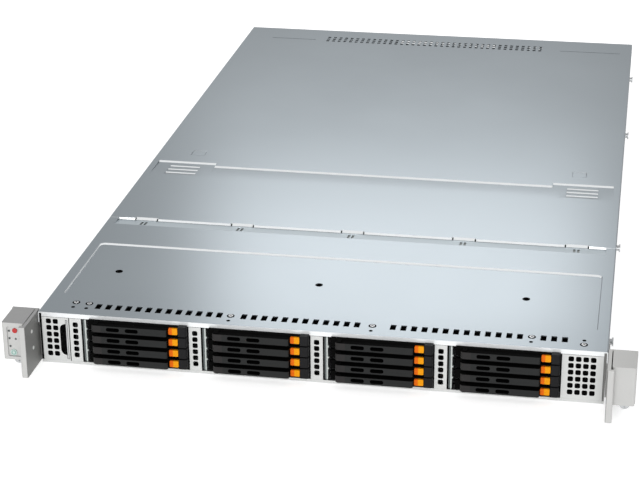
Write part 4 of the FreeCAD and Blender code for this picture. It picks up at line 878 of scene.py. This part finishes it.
def copy_to(model, turn, place):
    copy = bpy.data.objects.new(model.name + "_copy", model.data.copy())
    bpy.context.scene.collection.objects.link(copy)
    copy.data.transform(Matrix.Rotation(math.radians(turn), 4, "Z"))
    copy.data.transform(Matrix.Translation(Vector(place) * MM))
    return copy


def join_all(things):
    bpy.ops.object.select_all(action="DESELECT")
    for thing in things:
        thing.select_set(True)
    bpy.context.view_layer.objects.active = things[0]
    bpy.ops.object.join()
    return things[0]


def settle(piece, name, body, material, replaced=()):
    piece.name = name
    piece.data.name = name
    piece.data.materials.clear()
    piece.data.materials.append(material)
    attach(piece, body)
    if replaced:
        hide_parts(*replaced)


def lid_level(y):
    return RECESS_TOP if between(y, RECESS_SCREWS_Y) else LID_TOP


def cross_or_recess(c, n):
    top = lid_level(c.y)
    in_cross = c.z < top + HEAD_HIGH - 0.1 and any(
        math.hypot(c.x - x, c.y - y) < CROSS[0] / 2 for x, y in LID_SCREWS)
    return in_cross or top == RECESS_TOP


model = solid_round((0, 0, (HEAD_HIGH - HEAD_SUNK) / 2), HEAD_RADIUS, HEAD_HIGH + HEAD_SUNK)
round_edges(model, lambda low, high: min(low.z, high.z) > HEAD_HIGH - 0.01, HEAD_ROUND, steps=3)
for across, deep in (CROSS, CROSS[::-1]):
    cut_with(model, solid_box((-across / 2, -deep / 2, HEAD_HIGH - CROSS_DEEP),
                              (across / 2, deep / 2, CUTTER_TOP)))
only(model)
bpy.ops.object.shade_smooth_by_angle(angle=SHARP)
heads = []
shadow_and_spot_discs = []
for number, (x, y) in enumerate(LID_SCREWS):
    z = lid_level(y)
    heads.append(copy_to(model, FIRST_TURN + NEXT_TURN * number, (x, y, z)))
    shadow_and_spot_discs.append(dark_disc(x, y, z, SHADOW_DISC_RADIUS))
    if z == LID_TOP:
        away = SPOT_BEHIND if x > LAST_SCREW_X else SPOT_BEFORE
        shadow_and_spot_discs.append(dark_disc(x, y + away, z, SPOT_RADIUS, SPOT_SIDES))
bpy.data.objects.remove(model, do_unlink=True)
screws = join_all(heads)
settle(screws, "lid_screw_heads", "chassis", FINISHES["fastener"], ("cover_screws",))
# The cross in each head is painted black as shade; the heads in the recess are black.
paint(screws, "hollow", cross_or_recess)
shadows_and_spots = join_all(shadow_and_spot_discs)
settle(shadows_and_spots, "lid_screw_shadows_and_spots", "chassis", EXTRA["hollow"])
print("screws:", len(heads), "faces:", len(screws.data.polygons))

# %% [markdown]
# The front panels are folded channels of thin sheet: a wide one in each corner and four narrow
# ones between the bays. A punch leaves round corners in every hole, so each channel is cut with
# one rounded square that is copied to all the holes. The finger cut beside the card has a round
# left side, and the card has its own narrow slot.

# %% Front panels
PANEL_TOP = 39.0
PANEL_BOTTOM = 2.4
PANEL_DEEP = 12
LEFT_PANEL_END = -194.4
RIGHT_PANEL_START = 184.9
DIVIDER_HALF = 4.75
SHEET = 0.8
HOLE = 4.1
HOLE_ROUND = 1.15
GRILLE_PITCH = 5.5
DIVIDER_PITCH = 5.16
HOLE_ROWS = 6
HOLE_BOTTOM = 8
LEFT_HOLES = -210.4
LEFT_COLUMNS = 2
RIGHT_HOLES = 191.7
RIGHT_COLUMNS = 4
FINGER_X = (-201.6, -196)
FINGER_Z = (7.3, 33.7)
FINGER_ROUND = 4.4
CARD_X = (-197, -195.4)
CARD_Z = (3.7, 37.3)
PANEL_EDGE = 0.15
PANEL_SHADE_Y = 0.25
BEYOND = 1
CUT_TOP = 50
panel_low, panel_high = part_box("front_grilles")


def channel(left, right):
    block = solid_box((left, 0, PANEL_BOTTOM), (right, PANEL_DEEP, PANEL_TOP))
    cut_with(block, solid_box((left + SHEET, SHEET, 0),
                              (right - SHEET, PANEL_DEEP + BEYOND, CUT_TOP)))
    return block


def through_sheet(low, high):
    span = high - low
    return abs(span.y) > SHEET and max(abs(span.x), abs(span.z)) < 0.01


def cutter(wide, tall):
    return solid_box((wide[0], -BEYOND, tall[0]), (wide[1], SHEET + BEYOND, tall[1]))


spans = [(panel_low.x / MM, LEFT_PANEL_END), (RIGHT_PANEL_START, panel_high.x / MM)]
spans += [(start - DIVIDER_HALF, start + DIVIDER_HALF) for start in BAY_X]
panels = join_all([channel(left, right) for left, right in spans])

punch = cutter((-HOLE / 2, HOLE / 2), (-HOLE / 2, HOLE / 2))
round_edges(punch, through_sheet, HOLE_ROUND, steps=4)
columns = [(LEFT_HOLES + column * GRILLE_PITCH, GRILLE_PITCH) for column in range(LEFT_COLUMNS)]
columns += [(RIGHT_HOLES + column * GRILLE_PITCH, GRILLE_PITCH) for column in range(RIGHT_COLUMNS)]
columns += [(start, DIVIDER_PITCH) for start in BAY_X]
punches = [copy_to(punch, 0, (x, 0, HOLE_BOTTOM + row * pitch))
           for x, pitch in columns for row in range(HOLE_ROWS)]
bpy.data.objects.remove(punch, do_unlink=True)
cut_with(panels, join_all(punches))
finger = cutter(FINGER_X, FINGER_Z)
round_edges(finger, lambda low, high: through_sheet(low, high) and near(low.x, FINGER_X[0], 1),
            FINGER_ROUND, steps=6)
cut_with(panels, finger)
cut_with(panels, cutter(CARD_X, CARD_Z))

only(panels)
bevel = panels.modifiers.new("edge", "BEVEL")
bevel.width = PANEL_EDGE * MM
bevel.segments = 1
bevel.limit_method = "ANGLE"
bevel.angle_limit = SHARP
bpy.ops.object.modifier_apply(modifier=bevel.name)
bpy.ops.object.shade_smooth_by_angle(angle=SHARP)
settle(panels, "front_panels", "chassis", FINISHES["front_paint"],
       ("front_grilles",))
# The panels' inner faces are painted near black as shade.
print("panels' faces:", len(panels.data.polygons),
      "dark:", paint(panels, "hollow", lambda c, n: c.y > PANEL_SHADE_Y))
# The right panel's outer side gets the painted shade of the ears' inner sides.
print("outer side of the right panel:", paint(
    panels, "ear_inside",
    lambda c, n: n.x > 0.9 and c.y > PANEL_SHADE_Y and near(c.x, panel_high.x / MM, 0.1)))

# %% [markdown]
# Behind the perforated panels sits a strip of black filter foam, with the near-black finish that
# also serves as painted shade. It is what makes the holes look black. A slab is subdivided and its
# front is pushed up and down a little, as open foam is.

# %% Filter foam
FOAM = {"right_foam": ((187, 1.6, 4.5), (214, 4.6, 38.5)),
        "left_foam": ((-212.4, 1.6, 4.5), (-202.9, 4.6, 38.5))}
FOAM_CUTS = 12
FOAM_SWELL = 0.25
WAVE_X = 2.1
WAVE_Z = 2.6


def foam_strip(name, low, high):
    slab = solid_box(low, high)
    only(slab)
    bpy.ops.object.mode_set(mode="EDIT")
    bpy.ops.mesh.select_all(action="SELECT")
    bpy.ops.mesh.subdivide(number_cuts=FOAM_CUTS)
    bpy.ops.object.mode_set(mode="OBJECT")
    for vertex in slab.data.vertices:
        if near(vertex.co.y / MM, low[1], 0.01):
            wave = math.sin(vertex.co.x / MM * WAVE_X) * math.sin(vertex.co.z / MM * WAVE_Z)
            vertex.co.y += FOAM_SWELL * MM * wave
    only(slab)
    bpy.ops.object.shade_smooth_by_angle(angle=SHARP)
    settle(slab, name, "chassis", EXTRA["hollow"])


for name, (low, high) in FOAM.items():
    foam_strip(name, low, high)
print("foam strips:", len(FOAM))

# %% [markdown]
# Small fittings of the left ear: a teal ring in the face of the power button, and two small pips on
# the inner side of the pull plate. The ring rides on the button, so it is pressed in with it.

# %% Ear fittings
RING_PLACE = (-231.8, -22.4, 17.7)
RING_RADIUS = 1.55
RING_THICK = 0.28
PIP_X = -218.9
PIPS = ((-15.0, 33.0), (-13.8, 18.8))
PIP_RADIUS = 1.5
PIP_HIGH = 0.8
PIP_ROUND = 0.3
RIGHT_ANGLE = math.radians(90)

bpy.ops.object.select_all(action="DESELECT")
bpy.ops.mesh.primitive_torus_add(location=Vector(RING_PLACE) * MM, rotation=(RIGHT_ANGLE, 0, 0),
                                 major_radius=RING_RADIUS * MM, minor_radius=RING_THICK * MM,
                                 major_segments=28, minor_segments=8)
ring = bpy.context.object
bpy.ops.object.transform_apply(location=True, rotation=True, scale=True)
only(ring)
bpy.ops.object.shade_smooth()
settle(ring, "power_ring", body_of["power_button"], EXTRA["teal_ring"])
pips = []
for y, z in PIPS:
    pip = solid_round((PIP_X, y, z), PIP_RADIUS, PIP_HIGH, 16, (0, RIGHT_ANGLE, 0))
    round_edges(pip, lambda low, high: min(low.x, high.x) > PIP_X, PIP_ROUND, steps=3)
    pips.append(pip)
ear_pips = join_all(pips)
only(ear_pips)
bpy.ops.object.shade_smooth_by_angle(angle=SHARP)
settle(ear_pips, "ear_pips", "chassis", FINISHES["front_paint"])
print("ear fittings: ring and", len(PIPS), "pips")
